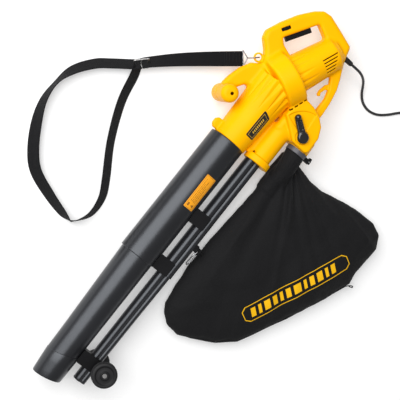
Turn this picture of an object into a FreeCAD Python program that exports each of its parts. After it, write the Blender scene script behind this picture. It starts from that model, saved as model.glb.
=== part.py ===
import FreeCAD, Part
import math
import os

# Corded leaf vacuum, blower and mulcher, lying on its right side.
# X runs along the suction tube from the nozzle to the motor, Y from the bag to the
# carrying handle, and Z from the floor to the machine's left side. Lengths are millimetres.
# The model is laid out about the seam of tube and housing and moved at the end, so that
# the origin is the centre of the footprint of everything but the mains lead.

V = FreeCAD.Vector

# Driving dimensions ------------------------------------------------------------------
WALL = 3.0                  # moulded housing
TUBE_WALL = 2.2             # suction tube
BLOW_WALL = 1.6             # blow tube
SCROLL_R = 74.0             # fan scroll, the widest part of the housing
MID_Z = SCROLL_R            # height of the machine's middle plane above the floor
FIT = 0.05                  # radial running clearance of a shaft in its hole

MOTOR_POINT = V(207, -10, MID_Z)        # middle of the fan scroll
MOTOR_ANGLE = -22.5                     # motor axis against the tube, degrees
MOTOR_DIR = V(math.cos(math.radians(MOTOR_ANGLE)), math.sin(math.radians(MOTOR_ANGLE)), 0)
SCROLL_HALF = 25.0
CASING_LENGTH = 150.0
SHAFT_R = 4.0
BLADES = 8

TUBE_V = 8.5                # axis of the upper suction tube
TUBE_R = 48.5
LOWER_V = 8.2               # axis of the lower tube where it enters the upper one
LOWER_R = 45.2
SEAM_U = -363.0             # joint of the upper and lower tubes
NOZZLE_U = -655.0
MOUTH_U = -742.0
BLOW_END_U = -697.0

WHEEL_AT = V(-641, -99, MID_Z)
WHEEL_R = 32.5
WHEEL_WIDTH = 22.0
AXLE_R = 4.0

HANDLE_HALF = 17.0          # half thickness of the main handle
LEVER_BOX_HALF = 42.0       # half thickness of the outlet chamber
ARM_HALF = 14.0
STRUT_HALF = 10.0
BAR_AT = V(88, 90, MID_Z)   # transverse bar of the front handle
BAR_R = 23.0
BAR_HALF = 58.0

TRIGGER_AT = V(292, 60, MID_Z)          # front corner of the trigger at the grip's underside
GRIP_ALONG = V(0.854, -0.520, 0)        # along the grip, towards the rear
GRIP_OUT = V(-0.520, -0.854, 0)         # out of the grip, into the hand opening
TRIGGER_LENGTH = 70.0
TRIGGER_HALF = 6.0

DIVERTER_AT = V(122, -127, MID_Z)       # spindle of the vacuum and blow selector
SPOUT_AT = V(101, -151, MID_Z)          # bag outlet, facing along -X
SPOUT_R = 24.0

CORD_D = 7.0
WEB_WIDTH = 38.0
WEB_THICK = 2.0

BAG_TOP = 76.0
BAG_WALL = 1.2

NODES = {}


# Helpers -----------------------------------------------------------------------------
def cylinder(base, radius, length, direction=V(0, 0, 1)):
    return Part.makeCylinder(radius, length, base, direction)


def ring(base, outer, inner, length, direction=V(0, 0, 1)):
    hole = cylinder(base - direction * 1.0, inner, length + 2.0, direction)
    return cylinder(base, outer, length, direction).cut(hole)


def motor_at(distance):
    """A point on the motor axis, counted from the middle of the fan scroll."""
    return MOTOR_POINT + MOTOR_DIR * distance


def circle_wire(center, radius, normal):
    return Part.Wire([Part.Edge(Part.Circle(center, normal, radius))])


def ellipse_wire(center, half_z, half_y):
    """An ellipse across X, its long half-axis along Z."""
    top = center + V(0, 0, half_z)
    side = center + V(0, half_y, 0)
    return Part.Wire([Part.Edge(Part.Ellipse(top, side, center))])


def loft(first, second):
    return Part.makeLoft([first, second], True, True)


def union(shapes):
    whole = shapes[0]
    for shape in shapes[1:]:
        whole = whole.fuse(shape)
    return whole


def outline(points, radius):
    """A closed wire at Z = 0 through the points, each corner rounded with an arc."""
    corners = [V(p[0], p[1], 0) for p in points]
    count = len(corners)
    arcs = []
    for i in range(count):
        here = corners[i]
        back = corners[i - 1] - here
        ahead = corners[(i + 1) % count] - here
        reach = 0.45 * min(back.Length, ahead.Length)
        back.normalize()
        ahead.normalize()
        half = 0.5 * math.acos(max(-1.0, min(1.0, back.dot(ahead))))
        size = min(radius, reach * math.tan(half))
        bisector = (back + ahead).normalize()
        center = here + bisector * (size / math.sin(half))
        setback = size / math.tan(half)
        arcs.append((here + back * setback, center - bisector * size, here + ahead * setback))
    edges = []
    for i in range(count):
        edges.append(Part.Edge(Part.Arc(*arcs[i])))
        start = arcs[i][2]
        end = arcs[(i + 1) % count][0]
        edges.append(Part.Edge(Part.LineSegment(start, end)))
    return Part.Wire(edges)


def slab(points, radius, low, high, inset=0.0):
    """A flat-sided piece across Z, shrunk all over by the inset."""
    face = Part.Face(outline(points, radius))
    if inset:
        face = face.makeOffset2D(-inset)
    face.translate(V(0, 0, low + abs(inset) if inset > 0 else low))
    return face.extrude(V(0, 0, high - low - 2.0 * max(inset, 0.0)))


def mid_slab(points, radius, half, inset=0.0):
    return slab(points, radius, MID_Z - half, MID_Z + half, inset)


def rod(points, radius):
    """A bent wire: straight runs with a ball at each bend."""
    pieces = []
    for start, end in zip(points[:-1], points[1:]):
        run = end - start
        pieces.append(Part.makeCylinder(radius, run.Length, start, run))
    for bend in points[1:-1]:
        pieces.append(Part.makeSphere(radius, bend))
    return union(pieces)


def grip_block(along, out, half_z):
    """A block set along the grip: ranges along it and out of it, half height across."""
    corner = TRIGGER_AT + GRIP_ALONG * along[0] + GRIP_OUT * out[0] - V(0, 0, half_z)
    step_a = GRIP_ALONG * (along[1] - along[0])
    step_b = GRIP_OUT * (out[1] - out[0])
    face = Part.Face(Part.makePolygon([corner, corner + step_a, corner + step_a + step_b,
                                       corner + step_b, corner]))
    return face.extrude(V(0, 0, 2.0 * half_z))


def keep(name, shape):
    NODES[name] = shape


# Housing -----------------------------------------------------------------------------
INLET_V = 4.0
INLET_R = 46.0
DUCT_V = -84.0
DUCT_R = 29.0
DUCT_LENGTH = 110.0
DUCT_PLATE = 8.0            # front plate that holds the end of the blow tube
BLOW_SOCKET_U = 22.0        # how far the blow tube reaches into the housing

HANDLE_OUTER = [(205, 30), (213, 66), (233, 80), (254, 103), (274, 108), (314, 91), (357, 67),
                (390, 41), (406, 22), (409, 0), (396, -45), (382, -90), (350, -99), (322, -88),
                (262, -20)]
HANDLE_OPENING = [(286, 64), (372, 11), (354, -25), (264, 20), (274, 50)]
LEVER_BOX = [(190, -131), (174, -151), (147, -164), (104, -165), (97, -160), (101, -123),
             (99, -62), (205, -62)]
ARM = [(205, 60), (188, 86), (160, 101), (128, 110), (104, 113), (92, 98), (112, 80),
       (134, 66), (144, 52), (150, 35), (200, 20)]
STRUT = [(352, -92), (338, -104), (303, -122), (276, -133), (240, -140), (206, -143),
         (168, -143), (168, -122), (240, -122), (266, -114), (288, -100), (306, -78), (330, -70)]
FLAP_HALF = 27.0
DUCT_WEB = [(12, -36), (112, -36), (112, -84), (12, -84)]
EAR = [(4, 38), (4, 62), (12, 69), (25, 69), (32, 62), (32, 40)]
CABLE_HOOK = [(282, -112), (268, -101), (250, -97), (238, -98), (234, -103), (238, -108),
              (246, -104), (258, -108), (266, -120)]


def inlet(grow):
    start = V(0, INLET_V, MID_Z)
    first = circle_wire(start, INLET_R + grow, V(1, 0, 0))
    second = circle_wire(motor_at(-SCROLL_HALF), 58.0 + grow, MOTOR_DIR)
    return loft(first, second)


def housing_outer():
    scroll = cylinder(motor_at(-SCROLL_HALF), SCROLL_R, 2 * SCROLL_HALF, MOTOR_DIR)
    casing = Part.makeCone(51, 44, CASING_LENGTH - SCROLL_HALF + 5, motor_at(SCROLL_HALF - 5), MOTOR_DIR)
    cap = Part.makeCone(44, 33, 14, motor_at(CASING_LENGTH), MOTOR_DIR)
    duct = cylinder(V(10, DUCT_V, MID_Z), DUCT_R, DUCT_LENGTH - 10, V(1, 0, 0))
    flange = cylinder(V(0, DUCT_V, MID_Z), 36, 18, V(1, 0, 0))
    handle = mid_slab(HANDLE_OUTER, 14, HANDLE_HALF)
    box = mid_slab(LEVER_BOX, 12, LEVER_BOX_HALF)
    web = mid_slab(DUCT_WEB, 2, 8)
    spout_boss = cylinder(V(98, SPOUT_AT.y, MID_Z), SPOUT_R + 4, 32, V(1, 0, 0))
    return union([scroll, inlet(0), casing, cap, duct, flange, handle, box, web,
                  spout_boss])


def housing_trim():
    """Solid arms and lugs that stand on the hollow casing."""
    arm = mid_slab(ARM, 12, ARM_HALF)
    strut = mid_slab(STRUT, 8, STRUT_HALF)
    hook = mid_slab(CABLE_HOOK, 3, 5)
    ear = mid_slab(EAR, 6, 9)
    bar = cylinder(BAR_AT - V(0, 0, BAR_HALF), BAR_R, 2 * BAR_HALF)
    eyelet = ring(V(211, 78, MID_Z - 4), 11, 5, 8)
    return [arm, strut, hook, ear, bar, eyelet]


def housing_inner():
    inner_scroll = cylinder(motor_at(-SCROLL_HALF + WALL), SCROLL_R - WALL,
                            2 * (SCROLL_HALF - WALL), MOTOR_DIR)
    first = circle_wire(V(-1, INLET_V, MID_Z), INLET_R - WALL, V(1, 0, 0))
    second = circle_wire(motor_at(-SCROLL_HALF + WALL + 1), 55.0, MOTOR_DIR)
    inner_inlet = loft(first, second)
    back = SCROLL_HALF + 1.0
    inner_casing = Part.makeCone(48, 41, CASING_LENGTH - back, motor_at(back), MOTOR_DIR)
    inner_duct = cylinder(V(DUCT_PLATE, DUCT_V, MID_Z), DUCT_R - WALL, DUCT_LENGTH - 6, V(1, 0, 0))
    inner_box = mid_slab(LEVER_BOX, 12, LEVER_BOX_HALF, WALL)
    inner_spout = cylinder(V(100, SPOUT_AT.y, MID_Z), SPOUT_R + 1, 27, V(1, 0, 0))
    shaft_way = cylinder(motor_at(SCROLL_HALF - WALL - 1), 14, WALL + 4, MOTOR_DIR)
    grip = mid_slab(HANDLE_OUTER, 14, HANDLE_HALF, WALL)
    around = mid_slab(HANDLE_OPENING, 9, HANDLE_HALF + 1, -WALL)
    scroll = cylinder(motor_at(-SCROLL_HALF - 1), SCROLL_R, 2 * SCROLL_HALF + 4, MOTOR_DIR)
    grip = grip.cut(around).cut(scroll)
    return union([inner_scroll, inner_inlet, inner_box, inner_duct, inner_casing,
                  inner_spout, shaft_way]).fuse(grip)


SCREW_SITES = [(392, -2), (262, 92), (362, 52), (150, 86), (122, 98), (290, -113), (177, -133),
               (150, -152), (374, -70)]
BOSS_HALF = [14, 14, 14, 12, 12, 8, 39, 39, 14]
SCREW_R = 2.0
SCREW_HEAD_R = 4.0


def screw(site, half):
    """One housing screw, put in from the right side, with its head in a pocket."""
    low = MID_Z - half
    shank = cylinder(V(site[0], site[1], low), SCREW_R, half + 8)
    head = cylinder(V(site[0], site[1], low - 1), SCREW_HEAD_R, 3)
    return head.fuse(shank)


def screw_pocket(site, half):
    """The room for a screw: a blind hole with a pocket open to the right side."""
    low = MID_Z - half
    hole = cylinder(V(site[0], site[1], low), SCREW_R, half + 9)
    pocket = cylinder(V(site[0], site[1], -1), SCREW_HEAD_R + 0.4, low + 3)
    return hole.fuse(pocket)


def vents():
    """Cooling slots along the motor casing, on both sides."""
    side = V(-MOTOR_DIR.y, MOTOR_DIR.x, 0)
    cuts = []
    for row in range(5):
        offset = 3.0 - 8.3 * row
        length = 48.0 - 5.0 * row
        start = motor_at(98) + side * (offset - 1.6)
        for low in (MID_Z - 60, MID_Z + 20):
            corner = V(start.x, start.y, low)
            step = MOTOR_DIR * length
            across = side * 3.2
            face = Part.Face(Part.makePolygon([corner, corner + step, corner + step + across,
                                               corner + across, corner]))
            cuts.append(face.extrude(V(0, 0, 40)))
    return cuts


def bleed_slots():
    """The short row of slots above the selector lever."""
    cuts = []
    for step in range(4):
        at = V(160 + 13 * step, -66 - 4.5 * step, MID_Z)
        slot = Part.makeBox(8, 3, 60, at + V(-4, -1.5, 0))
        slot.rotate(at, V(0, 0, 1), -19)
        cuts.append(slot)
    return cuts


def make_housing():
    bosses = []
    for site, half in zip(SCREW_SITES, BOSS_HALF):
        bosses.append(cylinder(V(site[0], site[1], MID_Z - half), 6, 2 * half))
    shell = union([housing_outer()] + housing_trim()).cut(housing_inner())
    shell = union([shell] + bosses)
    cuts = [mid_slab(HANDLE_OPENING, 9, HANDLE_HALF + 1), blow_upper(0)]
    cuts += vents()
    cuts += [screw_pocket(site, half) for site, half in zip(SCREW_SITES, BOSS_HALF)]
    cuts.append(cylinder(V(BAR_AT.x, BAR_AT.y, -1), BAR_R - 4, MID_Z + BAR_HALF - 3))
    cuts.append(cylinder(DIVERTER_AT, 6 + FIT, 80))
    cuts.append(cylinder(SPOUT_AT - V(10, 0, 0), SPOUT_R, 24, V(1, 0, 0)))
    cuts.append(cylinder(V(353, -110, MID_Z), 6.5, 30, V(0, 1, 0)))
    cuts.append(grip_block((-2, TRIGGER_LENGTH + 3), (-4, 3), TRIGGER_HALF + 1))
    window = grip_block((-5.5, 19.5), (-24.5, -13.5), 4)
    window.translate(V(0, 0, HANDLE_HALF - 1))
    cuts.append(window)
    shell = shell.cut(cuts)
    room = 1000.0
    left = Part.makeBox(room, room, room, V(-200, -500, MID_Z))
    right = Part.makeBox(room, room, room, V(-200, -500, MID_Z - room))
    keep("housing_left", shell.common(left))
    keep("housing_right", shell.common(right))
    screws = [screw(site, half) for site, half in zip(SCREW_SITES, BOSS_HALF)]
    keep("housing_screws", Part.makeCompound(screws))


# Tubes -------------------------------------------------------------------------------
def suction_solid(grow, start, end):
    """The suction tube's outer form from one X to another, as a plain solid."""
    def ring_at(u):
        if u > SEAM_U:
            return circle_wire(V(u, TUBE_V, MID_Z), TUBE_R + grow, V(1, 0, 0))
        share = (SEAM_U - u) / (SEAM_U - NOZZLE_U)
        radius = LOWER_R - 5.7 * share
        return circle_wire(V(u, LOWER_V - LOWER_R + radius, MID_Z), radius + grow, V(1, 0, 0))
    return loft(ring_at(start), ring_at(end))


def slanted_half(at, angle):
    """Everything on the motor side of a plane through the tube, turned about Z by an angle."""
    half = Part.makeBox(800, 400, 400, V(0, -200, -200))
    half.rotate(V(0, 0, 0), V(0, 0, 1), angle)
    half.translate(V(at, 0, MID_Z))
    return half


def nozzle_solid(grow):
    """The slightly larger end piece, as a plain solid."""
    first = circle_wire(V(-640 - grow, 2.6, MID_Z), 40.6 + grow, V(1, 0, 0))
    second = circle_wire(V(-760 + grow, -2, MID_Z), 36.0 + grow, V(1, 0, 0))
    return loft(first, second)


def make_suction_tube():
    bore = cylinder(V(SEAM_U - 1, TUBE_V, MID_Z), TUBE_R - TUBE_WALL, 400, V(1, 0, 0))
    keep("suction_tube_upper", suction_solid(0, 0, SEAM_U + 0.01).cut(bore))
    socket = cylinder(V(SEAM_U, LOWER_V, MID_Z), LOWER_R, 50, V(1, 0, 0))
    lower = suction_solid(0, SEAM_U, NOZZLE_U - 25).fuse(socket)
    inside = suction_solid(-TUBE_WALL, SEAM_U, NOZZLE_U - 40)
    inside = inside.fuse(cylinder(V(SEAM_U, LOWER_V, MID_Z), LOWER_R - TUBE_WALL, 60, V(1, 0, 0)))
    seam = slanted_half(-663, 16)
    mouth = slanted_half(MOUTH_U + 8, 11)
    keep("suction_tube_lower", lower.cut(inside).common(seam))
    keep("suction_nozzle", nozzle_solid(0).cut(nozzle_solid(-TUBE_WALL - 1)).cut(seam).common(mouth))


def blow_solid(lobes):
    """The two-lobed blow tube between two X stations; each lobe is (u, v, half_z, half_y) twice."""
    pieces = []
    for first, second in lobes:
        pieces.append(loft(ellipse_wire(V(first[0], first[1], MID_Z), first[2], first[3]),
                           ellipse_wire(V(second[0], second[1], MID_Z), second[2], second[3])))
    return pieces[0].fuse(pieces[1])


def blow_upper(grow):
    start = BLOW_SOCKET_U + abs(grow)
    length = start - SEAM_U + abs(grow)
    lobes = []
    for center_v, half_z, half_y in ((-69.3, 20, 14), (-86, 15, 12)):
        section = ellipse_wire(V(start, center_v, MID_Z), half_z + grow, half_y + grow)
        lobes.append(Part.Face(section).extrude(V(-length, 0, 0)))
    return lobes[0].fuse(lobes[1])


def blow_lower(grow, extra=0.0):
    return blow_solid([
        ((-330 + extra, -69, 17.6 + grow, 12.0 + grow),
         (BLOW_END_U - extra, -69, 16.5 + grow, 11.5 + grow)),
        ((-330 + extra, -86, 12.6 + grow, 9.6 + grow), (BLOW_END_U - extra, -82, 12 + grow, 9.5 + grow))])


def make_blow_tube():
    keep("blow_tube_upper", blow_upper(0).cut(blow_upper(-BLOW_WALL)))
    keep("blow_tube_lower", blow_lower(0).cut(blow_lower(-BLOW_WALL, 1.0)))


def make_tube_fittings():
    tubes = [suction_solid(0.1, -1, SEAM_U + 0.01), suction_solid(0.1, SEAM_U, NOZZLE_U),
             blow_upper(0.0), blow_lower(0.0), nozzle_solid(0.1)]
    for name, low, high in (("tube_clamp_upper", -217, -178), ("tube_clamp_lower", -362, -322)):
        block = mid_slab([(low, -78), (high, -78), (high, -28), (low, -28)], 4, 23)
        keep(name, block.cut(tubes))
    shape = [(-661, -33), (-624, -33), (-624, -92), (-630, -106), (-641, -111), (-652, -106),
             (-661, -92)]
    bracket = mid_slab(shape, 6, 21)
    bar = cylinder(WHEEL_AT - V(0, 0, 50), 9, 100)
    hole = cylinder(WHEEL_AT - V(0, 0, 60), AXLE_R, 120)
    keep("wheel_bracket", bracket.fuse(bar).cut(tubes + [hole]))
    hook_block = mid_slab([(-268, -104), (-250, -104), (-250, -90), (-268, -90)], 2, 10)
    tab = mid_slab([(-272, -116), (-254, -116), (-252, -98), (-268, -98)], 4, 4)
    eye = cylinder(V(-264, -109, MID_Z - 6), 2.6, 12)
    keep("bag_hook_bracket", hook_block.fuse(tab).cut([blow_upper(0), eye]))


# Wheels ------------------------------------------------------------------------------
def make_wheels():
    axle = cylinder(WHEEL_AT - V(0, 0, 70), AXLE_R, 140)
    keep("wheel_axle", axle)
    caps = []
    for side in (-1, 1):
        low = MID_Z + side * 52 if side > 0 else MID_Z - 52 - WHEEL_WIDTH
        tyre = cylinder(V(WHEEL_AT.x, WHEEL_AT.y, low), WHEEL_R, WHEEL_WIDTH)
        tyre = tyre.makeFillet(3.0, tyre.Edges)
        face = MID_Z + side * 74
        deep = V(0, 0, -side)
        dish = ring(V(WHEEL_AT.x, WHEEL_AT.y, face), 22, 10, 4, deep)
        hub_room = cylinder(V(WHEEL_AT.x, WHEEL_AT.y, face), 6.5, 7, deep)
        bore = cylinder(V(WHEEL_AT.x, WHEEL_AT.y, low - 1), AXLE_R + FIT, WHEEL_WIDTH + 2)
        wheel = tyre.cut([dish, hub_room, bore])
        keep("wheel_left" if side > 0 else "wheel_right", wheel)
        cap = cylinder(V(WHEEL_AT.x, WHEEL_AT.y, face - side * 5.5), 5.6, 4, V(0, 0, side))
        pin = cylinder(WHEEL_AT - V(0, 0, 70), AXLE_R, 140)
        caps.append(cap.cut(pin))
    keep("axle_caps", Part.makeCompound(caps))


# Motor and fan -----------------------------------------------------------------------
def motor_ring(start, length, outer, inner):
    return ring(motor_at(start), outer, inner, length, MOTOR_DIR)


def make_motor():
    shaft = cylinder(motor_at(-22), SHAFT_R, 160, MOTOR_DIR)
    keep("motor_shaft", shaft)
    back_plate = motor_ring(8, 3, 64, SHAFT_R)
    hub = motor_ring(-12, 20, 12, SHAFT_R)
    blades = []
    for number in range(BLADES):
        blade = Part.makeBox(54, 3, 22, V(9, -1.5, 0))
        seat = FreeCAD.Placement(motor_at(-14), FreeCAD.Rotation(V(0, 0, 1), MOTOR_DIR))
        step = FreeCAD.Placement(V(0, 0, 0), FreeCAD.Rotation(V(0, 0, 1), 360.0 / BLADES * number))
        blade.Placement = seat.multiply(step)
        blades.append(blade)
    bore = cylinder(motor_at(-30), SHAFT_R, 60, MOTOR_DIR)
    keep("impeller", union([back_plate, hub] + blades).cut(bore))
    corners = [V(8 * math.cos(math.radians(60 * k)), 8 * math.sin(math.radians(60 * k)), 0)
               for k in range(7)]
    nut = Part.Face(Part.makePolygon(corners)).extrude(V(0, 0, 6))
    nut.Placement = FreeCAD.Placement(motor_at(-18), FreeCAD.Rotation(V(0, 0, 1), MOTOR_DIR))
    keep("impeller_nut", nut.cut(bore))
    for name, start in (("bearing_front", 30), ("bearing_rear", 126)):
        keep(name, motor_ring(start, 7, 11, SHAFT_R + FIT))
    plate = motor_ring(26, 4, 46, 12)
    seat = motor_ring(30, 7, 14, 11)
    keep("motor_mount_plate", plate.fuse(seat))
    keep("rear_bearing_bracket", motor_ring(124, 2, 40, 9).fuse(motor_ring(126, 7, 14, 11)))
    keep("armature", motor_ring(50, 45, 23.2, SHAFT_R))
    keep("stator", motor_ring(47, 50, 37, 24.2))
    keep("commutator", motor_ring(103, 14, 11, SHAFT_R))
    side = V(-MOTOR_DIR.y, MOTOR_DIR.x, 0)
    brushes = []
    holders = []
    for sign in (-1, 1):
        out = side * sign
        turn = FreeCAD.Rotation(V(0, 0, 1), out)
        brush = Part.makeBox(6, 6, 12, V(-3, -3, 11.4))
        holder = Part.makeBox(12, 12, 16, V(-6, -6, 14)).cut(Part.makeBox(6, 6, 12, V(-3, -3, 11.4)))
        for block, group in ((brush, brushes), (holder, holders)):
            block.Placement = FreeCAD.Placement(motor_at(110), turn)
            group.append(block)
    keep("carbon_brushes", Part.makeCompound(brushes))
    keep("brush_holders", Part.makeCompound(holders))


# Controls ----------------------------------------------------------------------------
def make_trigger():
    bar = grip_block((0, TRIGGER_LENGTH), (-9.5, 13.3), TRIGGER_HALF)
    edges = [e for e in bar.Edges if e.Length > TRIGGER_LENGTH - 1]
    bar = bar.makeFillet(2.5, edges)
    pivot = TRIGGER_AT + GRIP_ALONG * 6 - GRIP_OUT * 6
    pin = cylinder(pivot - V(0, 0, HANDLE_HALF - WALL), 2, 2 * (HANDLE_HALF - WALL))
    keep("trigger", bar.cut(cylinder(pivot - V(0, 0, 20), 2 + FIT, 40)))
    keep("trigger_pin", pin)
    keep("trigger_spring", ring(pivot + V(0, 0, TRIGGER_HALF + 1), 3, 2.2, 4))
    keep("switch_body", grip_block((24, 50), (-28, -14.5), 9))
    dial_center = TRIGGER_AT + GRIP_ALONG * 7 - GRIP_OUT * 19 + V(0, 0, HANDLE_HALF + 2 - 12)
    wheel = cylinder(dial_center - GRIP_OUT * 3.5, 12, 7, GRIP_OUT)
    teeth = []
    for number in range(24):
        turn = FreeCAD.Rotation(GRIP_OUT, 15.0 * number)
        at = dial_center + turn.multVec(V(0, 0, 12.2)) - GRIP_OUT * 4
        teeth.append(cylinder(at, 0.9, 8, GRIP_OUT))
    bore = cylinder(dial_center - GRIP_OUT * 4, 1.6 + FIT, 8, GRIP_OUT)
    keep("speed_dial", wheel.cut(teeth + [bore]))
    keep("dial_pin", cylinder(dial_center - GRIP_OUT * 5, 1.6, 10, GRIP_OUT))


def make_selector():
    top = LEVER_BOX_HALF + 0.6
    hub = cylinder(DIVERTER_AT + V(0, 0, top), 15, 12)
    hub = hub.makeFillet(5.0, [e for e in hub.Edges if e.BoundBox.ZMin > MID_Z + top + 11])
    heading = FreeCAD.Rotation(V(0, 0, 1), 54.5)
    arm = slab([(0, -9), (46, -8), (58, -8), (62, 0), (58, 8), (46, 8), (0, 9)], 6, 0, 11)
    arm.Placement = FreeCAD.Placement(DIVERTER_AT + V(0, 0, top), heading)
    tip = Part.makeSphere(7.5, V(0, 0, 0))
    tip.translate(DIVERTER_AT + heading.multVec(V(53, 0, 0)) + V(0, 0, top + 9))
    bore = cylinder(DIVERTER_AT + V(0, 0, top - 1), 6, 9)
    keep("mode_lever", union([hub, arm, tip]).cut(bore))
    inside = LEVER_BOX_HALF - WALL
    keep("diverter_spindle", cylinder(DIVERTER_AT - V(0, 0, inside - 1), 6, inside - 1 + top + 8))
    turn = FreeCAD.Rotation(V(0, 0, 1), 100)
    flap = Part.makeBox(38, 3, 2 * FLAP_HALF, V(4, -1.5, -FLAP_HALF))
    flap.Placement = FreeCAD.Placement(DIVERTER_AT, turn)
    keep("diverter_flap", flap.cut(cylinder(DIVERTER_AT - V(0, 0, inside), 6, 100)))


def make_labels():
    badge = slab([(36, -31), (104, -31), (112, -6), (36, -6)], 3, MID_Z, MID_Z + 80)
    keep("badge_plate", badge.common(inlet(1.2)).cut(inlet(0)))
    area = slab([(-196, -22), (-99, -22), (-99, 7), (-196, 7)], 2, MID_Z, MID_Z + 80)
    raised = area.common(suction_solid(0.6, -1, SEAM_U + 1))
    keep("tube_sticker", raised.cut(suction_solid(0, -1, SEAM_U + 1)))


# Bag ---------------------------------------------------------------------------------
BAG = [(84, -130), (22, -136), (-40, -148), (-120, -143), (-240, -130), (-373, -130),
       (-436, -150), (-461, -192), (-447, -246), (-416, -308), (-380, -353), (-255, -421),
       (-79, -503), (38, -502), (80, -474), (85, -410), (73, -332), (61, -262), (68, -205),
       (84, -180)]


def bag_solid(inset):
    body = slab(BAG, 30, 0, BAG_TOP, inset)
    reach = 70.0
    neck = cylinder(V(82 + inset, SPOUT_AT.y, MID_Z), SPOUT_R + 3 - inset, reach, V(-1, 0, 0))
    return body.fuse(neck)


def make_bag():
    spout = ring(SPOUT_AT - V(26, 0, 0), SPOUT_R, SPOUT_R - 2.5, 34, V(1, 0, 0))
    keep("outlet_spout", spout)
    spout_hole = cylinder(SPOUT_AT - V(30, 0, 0), SPOUT_R + 0.2, 40, V(1, 0, 0))
    bag = bag_solid(0).cut(bag_solid(BAG_WALL)).cut(spout_hole)
    keep("bag_fabric", bag)
    collar = ring(V(84.2, SPOUT_AT.y, MID_Z), SPOUT_R + 4.5, SPOUT_R + 0.2, 12.6, V(1, 0, 0))
    keep("bag_collar", collar)
    pivot = V(91, -192.5, MID_Z)
    base = mid_slab([(85, -196), (96, -196), (96, -172), (85, -172)], 1, 8.5)
    room = mid_slab([(80, -200), (110, -200), (110, -187), (80, -187)], 1, 5.6)
    base = base.cut([cylinder(V(70, SPOUT_AT.y, MID_Z), SPOUT_R + 4.5, 40, V(1, 0, 0)), room])
    pin = cylinder(pivot - V(0, 0, 8.5), 1.8, 17)
    keep("latch_base", base.cut(pin))
    keep("latch_pin", pin)
    catch = mid_slab([(85.3, -196), (102, -196), (102, -189), (85.3, -189)], 2, 5)
    keep("bag_latch", catch.cut(cylinder(pivot - V(0, 0, 20), 1.8 + FIT, 40)))
    zip_line = [(-461, -200), (-447, -246), (-416, -308), (-380, -353), (-255, -421), (-90, -498)]
    teeth = []
    for start, end in zip(zip_line[:-1], zip_line[1:]):
        first = V(start[0], start[1], 38)
        run = V(end[0], end[1], 38) - first
        tape = Part.makeBox(run.Length, 5, 9, V(0, -2.5, -4.5))
        tape.Placement = FreeCAD.Placement(first, FreeCAD.Rotation(V(1, 0, 0), run))
        teeth.append(tape)
    keep("bag_zip", union(teeth).cut(bag_solid(0)))
    keep("zip_pull", slab([(-92, -520), (-78, -516), (-76, -508), (-84, -506), (-94, -512)], 2, 36, 39))
    loop = rod([V(-262, -132, 44), V(-262, -125, 62), V(-262, -118, 66)], 2.2)
    keep("bag_loop", loop)
    hook = rod([V(-262, -117, 66), V(-264, -109, 68), V(-264, -109, 80), V(-276, -104, 80),
                V(-302, -104, 74), V(-306, -108, 70), V(-300, -112, 68), V(-270, -114, 66)], 1.6)
    keep("bag_snap_hook", hook)


# Shoulder strap ----------------------------------------------------------------------
def ribbon(stations):
    """A webbing band. Each station is (x, y, z of the centre, lean from the floor in degrees)."""
    wires = []
    count = len(stations)
    for i in range(count):
        here = V(*stations[i][:3])
        before = V(*stations[max(i - 1, 0)][:3])
        after = V(*stations[min(i + 1, count - 1)][:3])
        along = (after - before)
        along.z = 0
        along.normalize()
        side = V(-along.y, along.x, 0)
        lean = math.radians(stations[i][3])
        wide = (side * math.cos(lean) + V(0, 0, math.sin(lean))) * (WEB_WIDTH / 2)
        thick = (V(0, 0, math.cos(lean)) - side * math.sin(lean)) * (WEB_THICK / 2)
        corners = [here + wide + thick, here - wide + thick, here - wide - thick, here + wide - thick]
        wires.append(Part.makePolygon(corners + [corners[0]]))
    return Part.makeLoft(wires, True, True)


def lying(x, y, lean):
    """A station whose lower edge rests on the floor."""
    angle = math.radians(lean)
    height = WEB_WIDTH / 2 * abs(math.sin(angle)) + WEB_THICK / 2 * abs(math.cos(angle)) + 0.1
    return (x, y, height, lean)


def make_strap():
    lead = [(186, 103, 50, 4), (155, 140, 41, 10), (116, 186, 30, 22), (75, 232, 22, 35),
            (30, 278, 18, 50)]
    keep("strap_lead", ribbon(lead))
    loop = [lying(2, 304, 50), lying(-30, 346, 50), lying(-58, 379, 52), lying(-104, 411, 60),
            lying(-153, 424, 80), lying(-207, 421, 68), lying(-262, 399, 52), lying(-318, 364, 46),
            lying(-355, 326, 46), lying(-380, 265, 50), lying(-396, 210, 62), lying(-400, 186, 86)]
    keep("strap_loop_far", ribbon(loop))
    back = [lying(-399, 180, 88), lying(-382, 166, 76), lying(-350, 152, 60), lying(-305, 156, 52),
            lying(-262, 178, 50), lying(-181, 228, 50), lying(-90, 268, 48), lying(-8, 286, 46)]
    keep("strap_loop_near", ribbon(back))
    frame = [V(20, 268, 6), V(-4, 296, 6), V(10, 310, 30), V(36, 284, 30), V(20, 268, 6)]
    ladder = rod(frame + [frame[1]], 2.0)
    middle = rod([(frame[0] + frame[1]) * 0.5, (frame[2] + frame[3]) * 0.5], 2.0)
    keep("strap_slider", ladder.fuse(middle))
    post = V(211, 78, MID_Z)
    rim = V(200, 89, MID_Z)
    wire = [post - V(0, 0, 7), post + V(0, 0, 7), rim + V(0, 0, 7), rim - V(0, 0, 7),
            post - V(0, 0, 7), post + V(0, 0, 1)]
    shank = [rim, V(195, 95, 52), V(203, 117, 50), V(172, 90, 50), V(195, 95, 52)]
    keep("strap_hook", rod(wire, 1.5).fuse(rod(shank, 1.5)))


# Mains lead --------------------------------------------------------------------------
BOOT_END = V(353, -123, MID_Z)

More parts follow.
